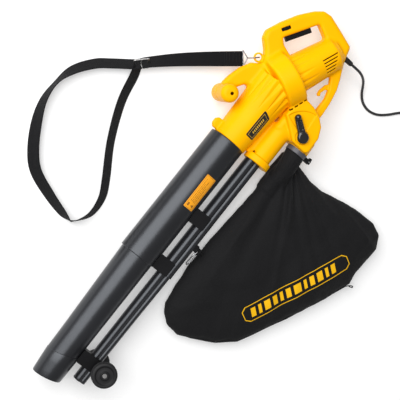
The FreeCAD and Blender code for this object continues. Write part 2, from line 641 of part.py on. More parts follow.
CORD_ROUTE = [BOOT_END, V(354, -142, 71), V(355, -163, 60), V(352, -184, 40), V(343, -200, 20),
              V(329, -213, 8), V(314, -231, 3.7), V(307, -256, 3.7), V(314, -284, 3.7),
              V(335, -309, 3.7), V(360, -330, 3.7), V(384, -360, 3.7), V(414, -376, 3.7)]
CORD_NODES = ["power_cord", "plug_body", "plug_pins"]
PLUG_SIZE = V(22, 16, 13.6)
PIN_PITCH = 9.2
PIN_D = 4.0
PIN_LENGTH = 19.0


def cord_path(points):
    """Straight runs joined by tangent arcs as large as the runs allow."""
    edges = []
    start = points[0]
    for i in range(1, len(points) - 1):
        here = points[i]
        back = points[i - 1] - here
        ahead = points[i + 1] - here
        shorter = min(back.Length, ahead.Length)
        back.normalize()
        ahead.normalize()
        half = 0.5 * math.acos(back.dot(ahead))
        turn = math.pi - 2.0 * half
        radius = 0.45 * shorter / math.tan(0.5 * turn)
        bisector = (back + ahead).normalize()
        center = here + bisector * (radius / math.sin(half))
        arc_start = here + back * (0.45 * shorter)
        arc_end = here + ahead * (0.45 * shorter)
        edges.append(Part.Edge(Part.LineSegment(start, arc_start)))
        edges.append(Part.Edge(Part.Arc(arc_start, center - bisector * radius, arc_end)))
        start = arc_end
        print("cord point", i, "radius", round(radius, 1), "diameters", round(radius / CORD_D, 1))
    edges.append(Part.Edge(Part.LineSegment(start, points[-1])))
    return Part.Wire(edges)


def make_cord():
    path = cord_path(CORD_ROUTE)
    heading = CORD_ROUTE[1] - CORD_ROUTE[0]
    section = circle_wire(CORD_ROUTE[0], CORD_D / 2, heading)
    tube = path.makePipeShell([section], True, False)
    keep("power_cord", tube)
    expected = math.pi * CORD_D ** 2 / 4 * path.Length
    print("cord length", round(path.Length, 1), "volume share", round(tube.Volume / expected, 4))
    boot = Part.makeCone(7.0, 4.6, 30, V(353, -93, MID_Z), V(0, -1, 0))
    neck = cylinder(V(353, -81, MID_Z), 6.5, 12, V(0, -1, 0))
    flange = cylinder(V(353, -84, MID_Z), 9, 4, V(0, 1, 0))
    keep("cord_boot", union([boot, neck, flange]))
    end = CORD_ROUTE[-1]
    way = (CORD_ROUTE[-1] - CORD_ROUTE[-2]).normalize()
    rise = V(0, 0, PLUG_SIZE.z / 2 + 0.1 - end.z)
    relief = Part.makeCone(CORD_D / 2, 5.6, 14, end, way * 14 + rise)
    relief = relief.cut(cylinder(end, 12, 10, way * -1))
    block = Part.makeBox(PLUG_SIZE.x, PLUG_SIZE.y, PLUG_SIZE.z, V(0, -PLUG_SIZE.y / 2, 0))
    pins = []
    for side in (-1, 1):
        root = V(PLUG_SIZE.x, side * PIN_PITCH / 2, PLUG_SIZE.z / 2)
        pins.append(cylinder(root, PIN_D / 2, PIN_LENGTH, V(1, 0, 0)))
    turn = FreeCAD.Rotation(V(1, 0, 0), way)
    seat = end + way * 12
    placed = FreeCAD.Placement(V(seat.x, seat.y, 0.1), turn)
    block.Placement = placed
    for pin in pins:
        pin.Placement = placed
    keep("plug_body", block.fuse(relief))
    keep("plug_pins", Part.makeCompound(pins))


def main():
    make_housing()
    make_suction_tube()
    make_blow_tube()
    make_tube_fittings()
    make_wheels()
    make_motor()
    make_trigger()
    make_selector()
    make_labels()
    make_bag()
    make_strap()
    make_cord()
    box = FreeCAD.BoundBox()
    for name, shape in NODES.items():
        if name not in CORD_NODES:
            box.add(shape.optimalBoundingBox(False, False))
    shift = V(-box.Center.x, -box.Center.y, -box.ZMin)
    print("shift", round(shift.x, 4), round(shift.y, 4), round(shift.z, 4))
    print("size", round(box.XLength, 1), round(box.YLength, 1), round(box.ZLength, 1))
    os.makedirs("parts", exist_ok=True)
    for name, shape in NODES.items():
        shape.translate(shift)
        solids = shape.Solids
        print(name, "solids", len(solids), "valid", shape.isValid(), "cm3", round(shape.Volume / 1000, 2))
        out = solids[0] if len(solids) == 1 else Part.makeCompound(solids)
        out.exportStep("parts/" + name + ".step")


main()
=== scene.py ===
import math
import random
from functools import reduce

import bmesh
import bpy
import numpy as np
from mathutils import Matrix, Vector, noise
from mathutils.bvhtree import BVHTree


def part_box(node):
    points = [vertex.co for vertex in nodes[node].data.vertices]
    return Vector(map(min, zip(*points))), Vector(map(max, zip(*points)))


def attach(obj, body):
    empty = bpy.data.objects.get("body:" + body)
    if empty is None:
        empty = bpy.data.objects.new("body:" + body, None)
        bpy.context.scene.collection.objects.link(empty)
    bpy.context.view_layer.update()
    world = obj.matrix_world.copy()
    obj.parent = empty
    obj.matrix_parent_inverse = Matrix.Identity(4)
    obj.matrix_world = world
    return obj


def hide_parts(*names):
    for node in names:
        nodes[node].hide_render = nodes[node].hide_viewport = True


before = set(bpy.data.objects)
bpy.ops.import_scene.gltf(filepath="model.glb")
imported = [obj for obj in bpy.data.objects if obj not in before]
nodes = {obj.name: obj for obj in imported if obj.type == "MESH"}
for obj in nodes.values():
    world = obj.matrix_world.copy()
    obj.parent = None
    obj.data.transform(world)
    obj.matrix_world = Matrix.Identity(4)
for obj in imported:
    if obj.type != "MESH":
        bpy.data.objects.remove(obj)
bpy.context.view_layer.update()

# The machine lies on its right side. Layout lengths are millimetres about the seam of tube
# and housing; at() turns them into the frame's metres, found from the left wheel's box.
random.seed(7)
MM = 0.001
MID_Z = 74.0
UP = Vector((0, 0, 1))
WHEEL_X, WHEEL_Y = -641.0, -99.0
wheel_low, wheel_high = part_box("wheel_left")
SHIFT = Vector(((wheel_low.x + wheel_high.x) / 2 - WHEEL_X * MM,
                (wheel_low.y + wheel_high.y) / 2 - WHEEL_Y * MM, 0.0))


def at(x, y, z=MID_Z):
    return Vector((x, y, z)) * MM + SHIFT


def place_new(name, data):
    """A new object in the scene."""
    made = bpy.data.objects.new(name, data)
    bpy.context.scene.collection.objects.link(made)
    return made


# Camera
CAMERA_PLACE, CAMERA_TARGET = (-303, 696, 2805), (-158, -31, 74)
PICTURE_UP = (0.783, 0.610, -0.121)
FOCAL_LENGTH, SENSOR_WIDTH = 101.9, 36.0


def make_camera():
    place = at(*CAMERA_PLACE)
    back = (place - at(*CAMERA_TARGET)).normalized()
    across = Vector(PICTURE_UP).cross(back).normalized()
    data = bpy.data.cameras.new("camera")
    data.lens = FOCAL_LENGTH
    data.sensor_width = SENSOR_WIDTH
    data.clip_end = 20.0
    camera = place_new("camera", data)
    turn = Matrix((across, back.cross(across), back)).transposed().to_4x4()
    camera.matrix_world = Matrix.Translation(place) @ turn
    bpy.context.scene.camera = camera


# Materials
EDGE_RADIUS = 0.0007
GRAIN, GRAIN_DEPTH = 2200.0, 0.00004
BRUSHED = 400.0
THREAD, THREAD_DEPTH, THREAD_ANGLE = 3200.0, 0.00008, math.radians(-22)


class Shader:
    """A node material built up by short calls."""

    def __init__(self, name, **values):
        self.material = bpy.data.materials.new(name)
        self.material.use_nodes = True
        self.tree = self.material.node_tree
        self.bsdf = self.tree.nodes["Principled BSDF"]
        for key, value in values.items():
            self.bsdf.inputs[key.replace("_", " ")].default_value = value

    def add(self, kind, **values):
        node = self.tree.nodes.new("ShaderNode" + kind)
        for key, value in values.items():
            setattr(node, key, value)
        return node

    def link(self, source, target):
        self.tree.links.new(source, target)

    def coords(self, scale=(1, 1, 1), source="Object", rotation=(0, 0, 0)):
        place = self.add("TexCoord")
        mapping = self.add("Mapping")
        mapping.inputs["Scale"].default_value = scale
        mapping.inputs["Rotation"].default_value = rotation
        self.link(place.outputs[source], mapping.inputs["Vector"])
        return mapping.outputs["Vector"]

    def noise(self, vector, scale, detail, rough=0.5):
        node = self.add("TexNoise")
        node.inputs["Scale"].default_value = scale
        node.inputs["Detail"].default_value = detail
        node.inputs["Roughness"].default_value = rough
        self.link(vector, node.inputs["Vector"])
        return node.outputs["Fac"]

    def wave(self, vector, scale, direction, distortion):
        node = self.add("TexWave", wave_type="BANDS", bands_direction=direction)
        node.inputs["Scale"].default_value = scale
        node.inputs["Distortion"].default_value = distortion
        self.link(vector, node.inputs["Vector"])
        return node.outputs["Fac"]

    def math(self, operation, first, second):
        node = self.add("Math", operation=operation)
        for socket, value in zip(node.inputs, (first, second)):
            if isinstance(value, (int, float)):
                socket.default_value = value
            else:
                self.link(value, socket)
        return node.outputs[0]

    def ramp(self, fac, stops):
        node = self.add("ValToRGB")
        ramp = node.color_ramp
        while len(ramp.elements) < len(stops):
            ramp.elements.new(0.5)
        for element, (place, color) in zip(ramp.elements, stops):
            element.position = place
            element.color = (*color, 1.0)
        self.link(fac, node.inputs["Fac"])
        return node.outputs["Color"]

    def bump(self, heights):
        """Several (height, strength, distance) layers over a softened edge."""
        edge = self.add("Bevel", samples=4)
        edge.inputs["Radius"].default_value = EDGE_RADIUS
        normal = edge.outputs["Normal"]
        for height, strength, distance in heights:
            node = self.add("Bump")
            node.inputs["Strength"].default_value = strength
            node.inputs["Distance"].default_value = distance
            self.link(height, node.inputs["Height"])
            self.link(normal, node.inputs["Normal"])
            normal = node.outputs["Normal"]
        self.link(normal, self.bsdf.inputs["Normal"])

    def color(self, socket):
        self.link(socket, self.bsdf.inputs["Base Color"])

    def rough(self, fac, low, high):
        node = self.add("MapRange")
        node.inputs["To Min"].default_value = low
        node.inputs["To Max"].default_value = high
        self.link(fac, node.inputs["Value"])
        self.link(node.outputs["Result"], self.bsdf.inputs["Roughness"])


def moulded(name, dark, light, rough, coat=0.0, shine=0.5, index=1.5, tint=(1, 1, 1, 1)):
    """Moulded plastic: fine spark grain, slow colour drift and slightly polished wear."""
    shader = Shader(name, Coat_Weight=coat, Coat_Roughness=0.18, Specular_IOR_Level=shine,
                    IOR=index, Specular_Tint=tint)
    vector = shader.coords()
    drift = shader.noise(vector, 9.0, 4.0)
    shader.color(shader.ramp(drift, [(0.3, dark), (0.7, light)]))
    shader.rough(shader.noise(vector, 38.0, 5.0, 0.6), *rough)
    shader.bump([(shader.noise(vector, GRAIN, 2.0), 0.35, GRAIN_DEPTH),
                 (shader.noise(vector, 60.0, 2.0), 0.15, 0.0002)])
    return shader.material


def metal(name, color, rough):
    """Metal with fine brushed lines."""
    shader = Shader(name, Metallic=1.0)
    lines = shader.noise(shader.coords((1.0, 1.0, 12.0)), BRUSHED, 3.0)
    shader.color(shader.ramp(lines, [(0.3, tuple(0.8 * c for c in color)), (0.7, color)]))
    shader.rough(lines, *rough)
    shader.bump([(lines, 0.2, 0.00005)])
    return shader.material


def laminated(name):
    """Thin steel sheets stacked along the motor."""
    shader = Shader(name, Metallic=1.0)
    vector = shader.coords(rotation=(0, 0, math.radians(22.5)))
    sheets = shader.wave(vector, 320.0, "X", 0.3)
    shader.color(shader.ramp(sheets, [(0.2, (0.10, 0.09, 0.09)), (0.8, (0.40, 0.39, 0.38))]))
    shader.rough(sheets, 0.35, 0.6)
    shader.bump([(sheets, 0.5, 0.0002)])
    return shader.material


def cloth(name, dark, light, sheen=0.05, rough=(0.72, 0.9)):
    """Plain-woven cloth: crossed threads with slubs, fuzz and slow wear."""
    shader = Shader(name, Sheen_Weight=sheen, Sheen_Roughness=0.45, Specular_IOR_Level=0.18)
    vector = shader.coords(rotation=(0, 0, THREAD_ANGLE))
    warp, weft = (shader.wave(vector, THREAD / 6.28, axis, 0.6) for axis in "XY")
    weave = shader.math("MULTIPLY", warp, weft)
    slub = shader.noise(vector, 240.0, 4.0, 0.7)
    tone = shader.math("ADD", shader.math("MULTIPLY", weave, 0.45),
                       shader.math("MULTIPLY", slub, 0.55))
    shader.color(shader.ramp(tone, [(0.2, dark), (0.75, light)]))
    shader.rough(slub, *rough)
    creases = shader.noise(vector, 17.0, 5.0, 0.55)
    shader.bump([(creases, 0.30, 0.006), (slub, 0.25, 0.0004), (weave, 0.6, THREAD_DEPTH)])
    return shader.material


def webbing(name):
    """Ribbed webbing, its ribs across the band and a chevron of yarn along it, in UV space."""
    shader = Shader(name, Sheen_Weight=0.02, Sheen_Roughness=0.4, Specular_IOR_Level=0.12)
    vector = shader.coords(source="UV")
    ribs = shader.wave(vector, 140.0, "Y", 0.25)
    yarn = shader.wave(vector, 260.0, "X", 1.5)
    both = shader.math("MULTIPLY", ribs, shader.math("ADD", yarn, 0.6))
    fuzz = shader.noise(shader.coords(), 900.0, 3.0, 0.7)
    tone = shader.math("ADD", shader.math("MULTIPLY", both, 0.5), shader.math("MULTIPLY", fuzz, 0.4))
    shader.color(shader.ramp(tone, [(0.15, (0.002, 0.002, 0.0025)), (0.9, (0.015, 0.015, 0.017))]))
    shader.rough(fuzz, 0.6, 0.85)
    shader.bump([(fuzz, 0.2, 0.0003), (both, 0.9, 0.0006)])
    return shader.material


# Each plastic: its name, dark and light colour, and its range of roughness.
MOULDED = [
    ("yellow_plastic", (0.93, 0.425, 0.0), (0.97, 0.47, 0.0), (0.30, 0.42),
     {"shine": 0.16, "index": 1.28}),
    ("tube_plastic", (0.010, 0.010, 0.011), (0.014, 0.014, 0.016), (0.28, 0.36),
     {"shine": 0.58, "tint": (0.88, 0.93, 1, 1)}),
    ("black_plastic", (0.004, 0.004, 0.0045), (0.007, 0.007, 0.008), (0.36, 0.5), {"shine": 0.14}),
    ("gloss_black", (0.008, 0.008, 0.009), (0.012, 0.012, 0.013), (0.12, 0.22), {"coat": 0.4}),
    ("grey_plastic", (0.05, 0.05, 0.06), (0.075, 0.075, 0.088), (0.35, 0.5), {}),
    ("rubber_black", (0.008, 0.008, 0.009), (0.015, 0.015, 0.016), (0.5, 0.7), {"shine": 0.35}),
    ("cord_rubber", (0.012, 0.012, 0.013), (0.02, 0.02, 0.022), (0.4, 0.55), {}),
    ("badge_black", (0.014, 0.011, 0.008), (0.02, 0.016, 0.012), (0.2, 0.3), {}),
    ("badge_gold", (0.62, 0.36, 0.03), (0.75, 0.45, 0.05), (0.3, 0.4), {}),
    ("sticker_orange", (0.88, 0.34, 0.006), (0.95, 0.40, 0.01), (0.4, 0.5), {}),
    ("print_dark", (0.25, 0.09, 0.004), (0.33, 0.13, 0.006), (0.45, 0.6), {})]
METALS = [("bright_steel", (0.62, 0.61, 0.60), (0.22, 0.4)),
          ("wire_chrome", (0.30, 0.30, 0.31), (0.12, 0.26)),
          ("copper_alloy", (0.72, 0.42, 0.20), (0.25, 0.4))]


def make_materials():
    made = {name: moulded(name, *row, **more) for name, *row, more in MOULDED}
    made.update((name, metal(name, *row)) for name, *row in METALS)
    made["lamination_steel"] = laminated("lamination_steel")
    made["strap_webbing"] = webbing("strap_webbing")
    made["bag_cloth"] = cloth("bag_cloth", (0.0035, 0.0035, 0.004), (0.013, 0.013, 0.014))
    made["print_yellow"] = cloth("print_yellow", (0.80, 0.42, 0.002), (0.95, 0.55, 0.006),
                                 sheen=0.1, rough=(0.5, 0.7))
    return made


M = make_materials()

# CAD nodes that keep their shape and only get a better material.
KEPT_SHAPES = {
    "copper_alloy": ("plug_pins", "commutator"),
    "black_plastic": ("trigger", "speed_dial", "diverter_flap", "diverter_spindle", "switch_body",
                      "tube_clamp_upper", "tube_clamp_lower", "wheel_bracket", "bag_hook_bracket",
                      "rear_bearing_bracket", "brush_holders", "outlet_spout", "latch_base",
                      "bag_latch"),
    "bright_steel": ("trigger_pin", "trigger_spring", "dial_pin", "latch_pin", "wheel_axle",
                     "axle_caps", "motor_shaft", "impeller_nut", "bearing_front", "bearing_rear",
                     "housing_screws"),
    "badge_black": ("badge_plate",),
    "sticker_orange": ("tube_sticker",),
    "grey_plastic": ("impeller", "motor_mount_plate", "bag_collar"),
    "lamination_steel": ("armature", "stator"),
    "rubber_black": ("carbon_brushes",)}


def dress_kept_shapes():
    for material, names in KEPT_SHAPES.items():
        for name in names:
            mesh = nodes[name].data
            mesh.materials.clear()
            mesh.materials.append(M[material])


# Mesh helpers
def dress(piece, material, body="machine", slot=None):
    """Gives a new piece its material and the body that it rides on; slot is not used."""
    piece.data.materials.append(M[material])
    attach(piece, body)
    slot or material
    return piece


def add_mesh(name, verts, faces, material, smooth=True, fix=True, **more):
    """A piece from points and faces; fix turns the faces outwards."""
    mesh = bpy.data.meshes.new(name)
    mesh.from_pydata([tuple(v) for v in verts], [], faces)
    mesh.update()
    if fix:
        bm = bmesh.new()
        bm.from_mesh(mesh)
        bmesh.ops.recalc_face_normals(bm, faces=bm.faces)
        bm.to_mesh(mesh)
        bm.free()
    for polygon in mesh.polygons:
        polygon.use_smooth = smooth
    return dress(place_new(name, mesh), material, **more)


def bake_modifiers(piece):
    """Turns the piece's modifiers into its mesh."""
    graph = bpy.context.evaluated_depsgraph_get()
    graph.update()
    mesh = bpy.data.meshes.new_from_object(piece.evaluated_get(graph))
    piece.modifiers.clear()
    piece.data = mesh


def smooth_by_angle(piece, degrees):
    """Splits the shading at sharp edges only."""
    bm = bmesh.new()
    bm.from_mesh(piece.data)
    limit = math.radians(degrees)
    for edge in bm.edges:
        if len(edge.link_faces) == 2:
            edge.smooth = edge.calc_face_angle(0.0) < limit
    bm.to_mesh(piece.data)
    bm.free()


def rings_mesh(name, rings, material, closed=False, capped=False, **more):
    """A skin through rings of points, each with the same count."""
    count = len(rings[0])
    verts = [v for ring in rings for v in ring]
    faces = []
    last = len(rings) if closed else len(rings) - 1
    for i in range(last):
        first = i * count
        second = ((i + 1) % len(rings)) * count
        for k in range(count):
            n = (k + 1) % count
            faces.append((first + k, first + n, second + n, second + k))
    if capped:
        faces.append(tuple(range(count)))
        faces.append(tuple(range((len(rings) - 1) * count, len(rings) * count)))
    return add_mesh(name, verts, faces, material, **more)


def circle(count):
    """Angles of even steps round a full turn."""
    return [2 * math.pi * k / count for k in range(count)]


def path_curve(name, points, radius, steps, sides, cyclic=False):
    """A round wire along a smooth path."""
    curve = bpy.data.curves.new(name, "CURVE")
    curve.dimensions = "3D"
    curve.bevel_depth = radius
    curve.bevel_resolution = sides
    curve.use_fill_caps = True
    spline = curve.splines.new("NURBS")
    spline.points.add(len(points) - 1)
    for point, place in zip(spline.points, points):
        point.co = (*place, 1.0)
    spline.use_cyclic_u = cyclic
    spline.use_endpoint_u = not cyclic
    spline.order_u = 3
    spline.resolution_u = steps
    return place_new(name, curve)


def wire_piece(name, node, points, corner, radius, material, slot=None, cyclic=False):
    """A wire of given radius, bent at corners, that stands for a CAD node."""
    places = corners(points, corner, cyclic) if corner else [at(*point) for point in points]
    holder = path_curve(name + "_path", places, radius * MM, 8, 5, cyclic)
    graph = bpy.context.evaluated_depsgraph_get()
    mesh = bpy.data.meshes.new_from_object(holder.evaluated_get(graph))
    bpy.data.objects.remove(holder)
    mesh.materials.clear()
    for polygon in mesh.polygons:
        polygon.use_smooth = True
    wire = dress(place_new(name, mesh), material, slot=slot)
    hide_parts(node)


def corners(points, radius, closed):
    """Points that turn each corner of a wire tightly."""
    out = []
    count = len(points)
    for i, point in enumerate(points):
        here = Vector(point)
        if not closed and i in (0, count - 1):
            out.append(at(*here))
            continue
        back = Vector(points[i - 1]) - here
        ahead = Vector(points[(i + 1) % count]) - here
        reach = min(radius, back.length * 0.45, ahead.length * 0.45)
        out += [at(*(here + back.normalized() * reach)), at(*here),
                at(*(here + ahead.normalized() * reach))]
    return out


# Distance fields for the moulded shells
def rounded(wall, caps, round_by):
    """The solid inside a wall and between its caps, with rounded edges."""
    return np.minimum(np.maximum(wall, caps), 0) + \
        np.sqrt(np.maximum(wall, 0) ** 2 + np.maximum(caps, 0) ** 2) - round_by


class Field:
    """Signed distances on a grid, in layout millimetres with Z about the middle plane."""

    def __init__(self, low, high, step):
        self.low = np.array(low, np.float32)
        self.step = step
        self.size = [int(math.ceil((b - a) / step)) + 1 for a, b in zip(low, high)]
        axes = [(self.low[i] + step * np.arange(self.size[i])).astype(np.float32) for i in range(3)]
        self.x = axes[0][:, None, None]
        self.y = axes[1][None, :, None]
        self.z = axes[2][None, None, :]

    def caps(self, low, high, round_by):
        """Distance outside two heights, drawn in for rounding."""
        return np.abs(self.z - (low + high) / 2) - (high - low) / 2 + round_by

    def cone(self, start, end, r0, r1, round_by=0.0, flute=None):
        """A capped cone along the middle plane; flute adds to its radius."""
        sx, sy = start
        dx, dy = end[0] - sx, end[1] - sy
        length = math.hypot(dx, dy)
        dx, dy = dx / length, dy / length
        along = (self.x - sx) * dx + (self.y - sy) * dy
        side = -(self.x - sx) * dy + (self.y - sy) * dx
        radius = r0 + (r1 - r0) * np.clip(along / length, 0, 1)
        if flute is not None:
            radius = radius + flute(along, np.arctan2(self.z, side))
        wall = np.sqrt(side * side + self.z * self.z) - radius + round_by
        return rounded(wall, np.abs(along - length / 2) - length / 2 + round_by, round_by)

    def upright(self, center, radius, low, high, round_by=0.0):
        """A cylinder along Z."""
        wall = np.sqrt((self.x - center[0]) ** 2 + (self.y - center[1]) ** 2) - radius + round_by
        return rounded(wall, self.caps(low, high, round_by), round_by)

    def flat(self, points):
        """Distance to a polygon, seen along Z."""
        px, py = self.x[:, :, 0], self.y[:, :, 0]
        best = np.full(np.broadcast_shapes(px.shape, py.shape), 1e9, np.float32)
        sign = np.ones_like(best)
        count = len(points)
        for i in range(count):
            ax, ay = points[i]
            bx, by = points[i - 1]
            ex, ey = bx - ax, by - ay
            wx, wy = px - ax, py - ay
            share = np.clip((wx * ex + wy * ey) / (ex * ex + ey * ey), 0, 1)
            best = np.minimum(best, (wx - ex * share) ** 2 + (wy - ey * share) ** 2)
            above = wy >= 0
            under = py < by
            left = ex * wy > ey * wx
            flip = (above & under & left) | (~above & ~under & ~left)
            sign = np.where(flip, -sign, sign)
        return (np.sqrt(best) * sign)[:, :, None]

    def slab(self, points, low, high, round_by=0.0, corner=0.0):
        """A polygon between two heights; corner rounds its outline, round_by its edges."""
        plan = self.flat(points) - corner + round_by
        return rounded(plan, self.caps(low, high, round_by), round_by)

    def surface(self, values):
        """Surface nets: one vertex a crossed cell, set where the crossings average."""
        inside = values < 0
        corners = [(i, j, k) for i in (0, 1) for j in (0, 1) for k in (0, 1)]

        def part(array, corner):
            return array[tuple(slice(o, n - 1 + o) for o, n in zip(corner, array.shape))]

        total = sum(part(inside, c).astype(np.int8) for c in corners)
        crossed = (total > 0) & (total < 8)
        cells = np.argwhere(crossed)
        number = np.full(crossed.shape, -1, np.int64)
        number[crossed] = np.arange(len(cells))
        place = np.zeros((len(cells), 3), np.float64)
        hits = np.zeros(len(cells), np.float64)
        i, j, k = cells.T
        for a in corners:
            for axis in range(3):
                if a[axis]:
                    continue
                b = list(a)
                b[axis] = 1
                va = values[i + a[0], j + a[1], k + a[2]].astype(np.float64)
                vb = values[i + b[0], j + b[1], k + b[2]].astype(np.float64)
                cross = (va < 0) != (vb < 0)
                share = np.where(cross, va / np.where(cross, va - vb, 1.0), 0.0)
                point = np.tile(np.array(a, np.float64), (len(cells), 1))
                point[:, axis] += share
                place += point * cross[:, None]
                hits += cross
        place = cells + place / hits[:, None]
        verts = place * self.step + self.low
        quads = []
        for axis in range(3):
            lo = [slice(None)] * 3
            hi = [slice(None)] * 3
            lo[axis] = slice(0, -1)
            hi[axis] = slice(1, None)
            first = inside[tuple(lo)]
            second = inside[tuple(hi)]
            change = first != second
            u, v = (axis + 1) % 3, (axis + 2) % 3
            edges = np.argwhere(change)
            keep = (edges[:, u] > 0) & (edges[:, v] > 0)
            keep &= (edges[:, u] < values.shape[u] - 1) & (edges[:, v] < values.shape[v] - 1)
            edges = edges[keep]
            outward = first[tuple(edges.T)]
            corners_of = []
            for du, dv in ((1, 1), (0, 1), (0, 0), (1, 0)):
                cell = edges.copy()
                cell[:, u] -= du
                cell[:, v] -= dv
                corners_of.append(number[tuple(cell.T)])
            quad = np.stack(corners_of, axis=1)
            quad[~outward] = quad[~outward][:, ::-1]
            quads.append(quad)
        return verts, np.concatenate(quads)


def blend_min(a, b, reach):
    """The union of two fields with a fillet."""
    share = np.clip(0.5 + 0.5 * (b - a) / reach, 0, 1)
    return b + (a - b) * share - reach * share * (1 - share)


def blend_cut(a, b, reach):
    """The first field without the second, its rim rounded."""
    return -blend_min(-a, b, reach)


def cut_away(body, cuts):
    """The body without each of the cuts, sharp-edged."""
    for cut in cuts:
        body = np.maximum(body, -cut)
    return body


def field_piece(name, node, field, values, material, body="machine", slot=None):
    """The surface of a field as a piece that stands for a CAD node."""
    verts, quads = field.surface(values)
    verts = verts * MM + np.array(at(0, 0))
    mesh = bpy.data.meshes.new(name)
    mesh.vertices.add(len(verts))
    mesh.vertices.foreach_set("co", verts.astype(np.float32).ravel())
    mesh.loops.add(4 * len(quads))
    mesh.loops.foreach_set("vertex_index", quads.astype(np.int32).ravel())
    mesh.polygons.add(len(quads))
    mesh.polygons.foreach_set("loop_start", np.arange(0, 4 * len(quads), 4, dtype=np.int32))
    mesh.polygons.foreach_set("use_smooth", np.ones(len(quads), dtype=bool))
    mesh.update(calc_edges=True)
    mesh.validate()
    piece = dress(place_new(name, mesh), material, body, slot)
    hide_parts(node)
    return piece


# Mains lead
CORD_D = 7.0
CORD_ROUTE = [(353, -123, MID_Z), (354, -142, 71), (355, -163, 60), (352, -184, 40),
              (343, -200, 20), (329, -213, 8), (314, -231, 3.7), (307, -256, 3.7), (314, -284, 3.7),
              (335, -309, 3.7), (360, -330, 3.7), (384, -360, 3.7), (414, -376, 3.7)]


def make_cord():
    lead = path_curve("mains_lead", [at(*point) for point in CORD_ROUTE], CORD_D / 2 * MM, 12, 6)
    dress(lead, "cord_rubber")
    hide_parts("power_cord")
    boot = make_boot()
    plug = make_plug()
    tuple(at(*CORD_ROUTE[0]))


def lathe(name, profile, base, axis, material):
    """A turned piece: profile is (distance along the axis, radius) from the base, closed."""
    side = axis.orthogonal().normalized()
    other = axis.cross(side)
    rings = [[base + axis * distance + (side * math.cos(a) + other * math.sin(a)) * radius
              for a in circle(40)] for distance, radius in profile]
    return rings_mesh(name, rings, material, capped=True)


BOOT_TOP = (353, -83)
BOOT_PITCH = 0.0043
BOOT_COLLAR = [(0.0, 0.0088), (0.004, 0.0088), (0.0045, 0.0064), (0.010, 0.0064),
               (0.0105, 0.0072)]
BOOT_TIP = [(0.0388, 0.0062), (0.0398, 0.0056), (0.0400, 0.0036)]
PLUG_STATIONS = [(0.0, 3.5, 3.5), (0.004, 4.3, 4.0), (0.012, 5.2, 4.6), (0.015, 7.4, 6.2),
                 (0.020, 7.8, 6.5), (0.026, 6.6, 5.8), (0.031, 7.6, 6.5), (0.0335, 7.8, 6.7),
                 (0.034, 7.2, 6.2)]
PLUG_LIFT = 0.0032


def make_boot():
    """Tapered strain relief with cut ribs."""
    profile = list(BOOT_COLLAR)
    for rib in range(6):
        near = 0.0125 + rib * BOOT_PITCH
        radius = 0.0074 - 0.00016 * rib
        profile += [(near, radius), (near + 0.0022, radius), (near + 0.0026, radius - 0.0013),
                    (near + 0.0039, radius - 0.0013)]
    boot = lathe("lead_boot", profile + BOOT_TIP, at(*BOOT_TOP), Vector((0, -1, 0)),
                 "rubber_black")
    smooth_by_angle(boot, 40)
    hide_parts("cord_boot")
    return boot


def squared(value):
    """Draws a circle's sine or cosine out towards a square."""
    return math.copysign(abs(value) ** 0.6, value)


def make_plug():
    """A moulded two-pin plug with a waisted grip; its stations hold half widths and heights."""
    end = at(*CORD_ROUTE[-1])
    way = (end - at(*CORD_ROUTE[-2])).normalized()
    side = Vector((-way.y, way.x, 0)).normalized()
    rings = []
    for distance, half_w, half_h in PLUG_STATIONS:
        middle = end + way * distance + UP * min(distance / 0.012, 1.0) * PLUG_LIFT
        rings.append([middle + side * (half_w * MM * squared(math.cos(a))) +
                      UP * (half_h * MM * squared(math.sin(a))) for a in circle(36)])
    plug = rings_mesh("lead_plug", rings, "rubber_black", capped=True)
    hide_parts("plug_body")
    return plug


# Housing
HANDLE_HALF = 17.0
INLET_R = 46.0
MOTOR_TURN = math.radians(-22.5)
MOTOR_X, MOTOR_Y = 207.0, -10.0
SCROLL_R = 74.0
DUCT_Y, SPOUT_Y = -84, -151
WALL = 3.2


def motor_at(distance, side=0.0):
    """A layout place along the motor axis, and off to its handle side."""
    c, s = math.cos(MOTOR_TURN), math.sin(MOTOR_TURN)
    return (MOTOR_X + c * distance - s * side, MOTOR_Y + s * distance + c * side)


HANDLE_OUTER = [(205, 30), (213, 66), (233, 80), (254, 103), (274, 108), (314, 91), (357, 67),
                (390, 41), (406, 22), (409, 0), (396, -45), (382, -90), (350, -99), (322, -88),
                (262, -20)]
HANDLE_OPENING = [(286, 64), (372, 11), (354, -25), (264, 20), (274, 50)]
LEVER_BOX = [(200, -105), (190, -131), (174, -151), (147, -164), (104, -165), (97, -158),
             (99, -115), (140, -58), (205, -58)]
DUCT_END = [(99, -60), (150, -58), (150, -100), (99, -128)]
ARM = [(205, 60), (188, 86), (160, 101), (128, 110), (104, 113), (92, 98), (112, 80),
       (134, 66), (144, 52), (150, 35), (200, 20)]
STRUT = [(352, -92), (338, -104), (303, -122), (276, -133), (240, -140), (206, -143),
         (168, -143), (168, -122), (240, -122), (266, -114), (288, -100), (306, -78), (330, -70)]
SCREW_SITES = [(392, -2, 14), (262, 92, 14), (362, 52, 14), (150, 86, 12), (122, 98, 12),
               (290, -113, 8), (177, -133, 39), (150, -152, 39), (374, -70, 14)]
EAR = [(4, 38), (4, 62), (12, 69), (25, 69), (32, 62), (32, 40)]
CABLE_HOOK = [(282, -112), (268, -101), (250, -97), (238, -98), (234, -103), (238, -108),
              (246, -104), (258, -108), (266, -120)]
DUCT_WEB = [(12, -36), (112, -36), (112, -84), (12, -84)]
SELECTOR = (122.0, -127.0)
BAR = (88.0, 90.0)
GRIP_AT = Vector((292, 60))
GRIP_ALONG = Vector((0.854, -0.520))
GRIP_OUT = Vector((-0.520, -0.854))
LOOP_AT = (210, 79)
SCREW_HOLE_R = 4.4


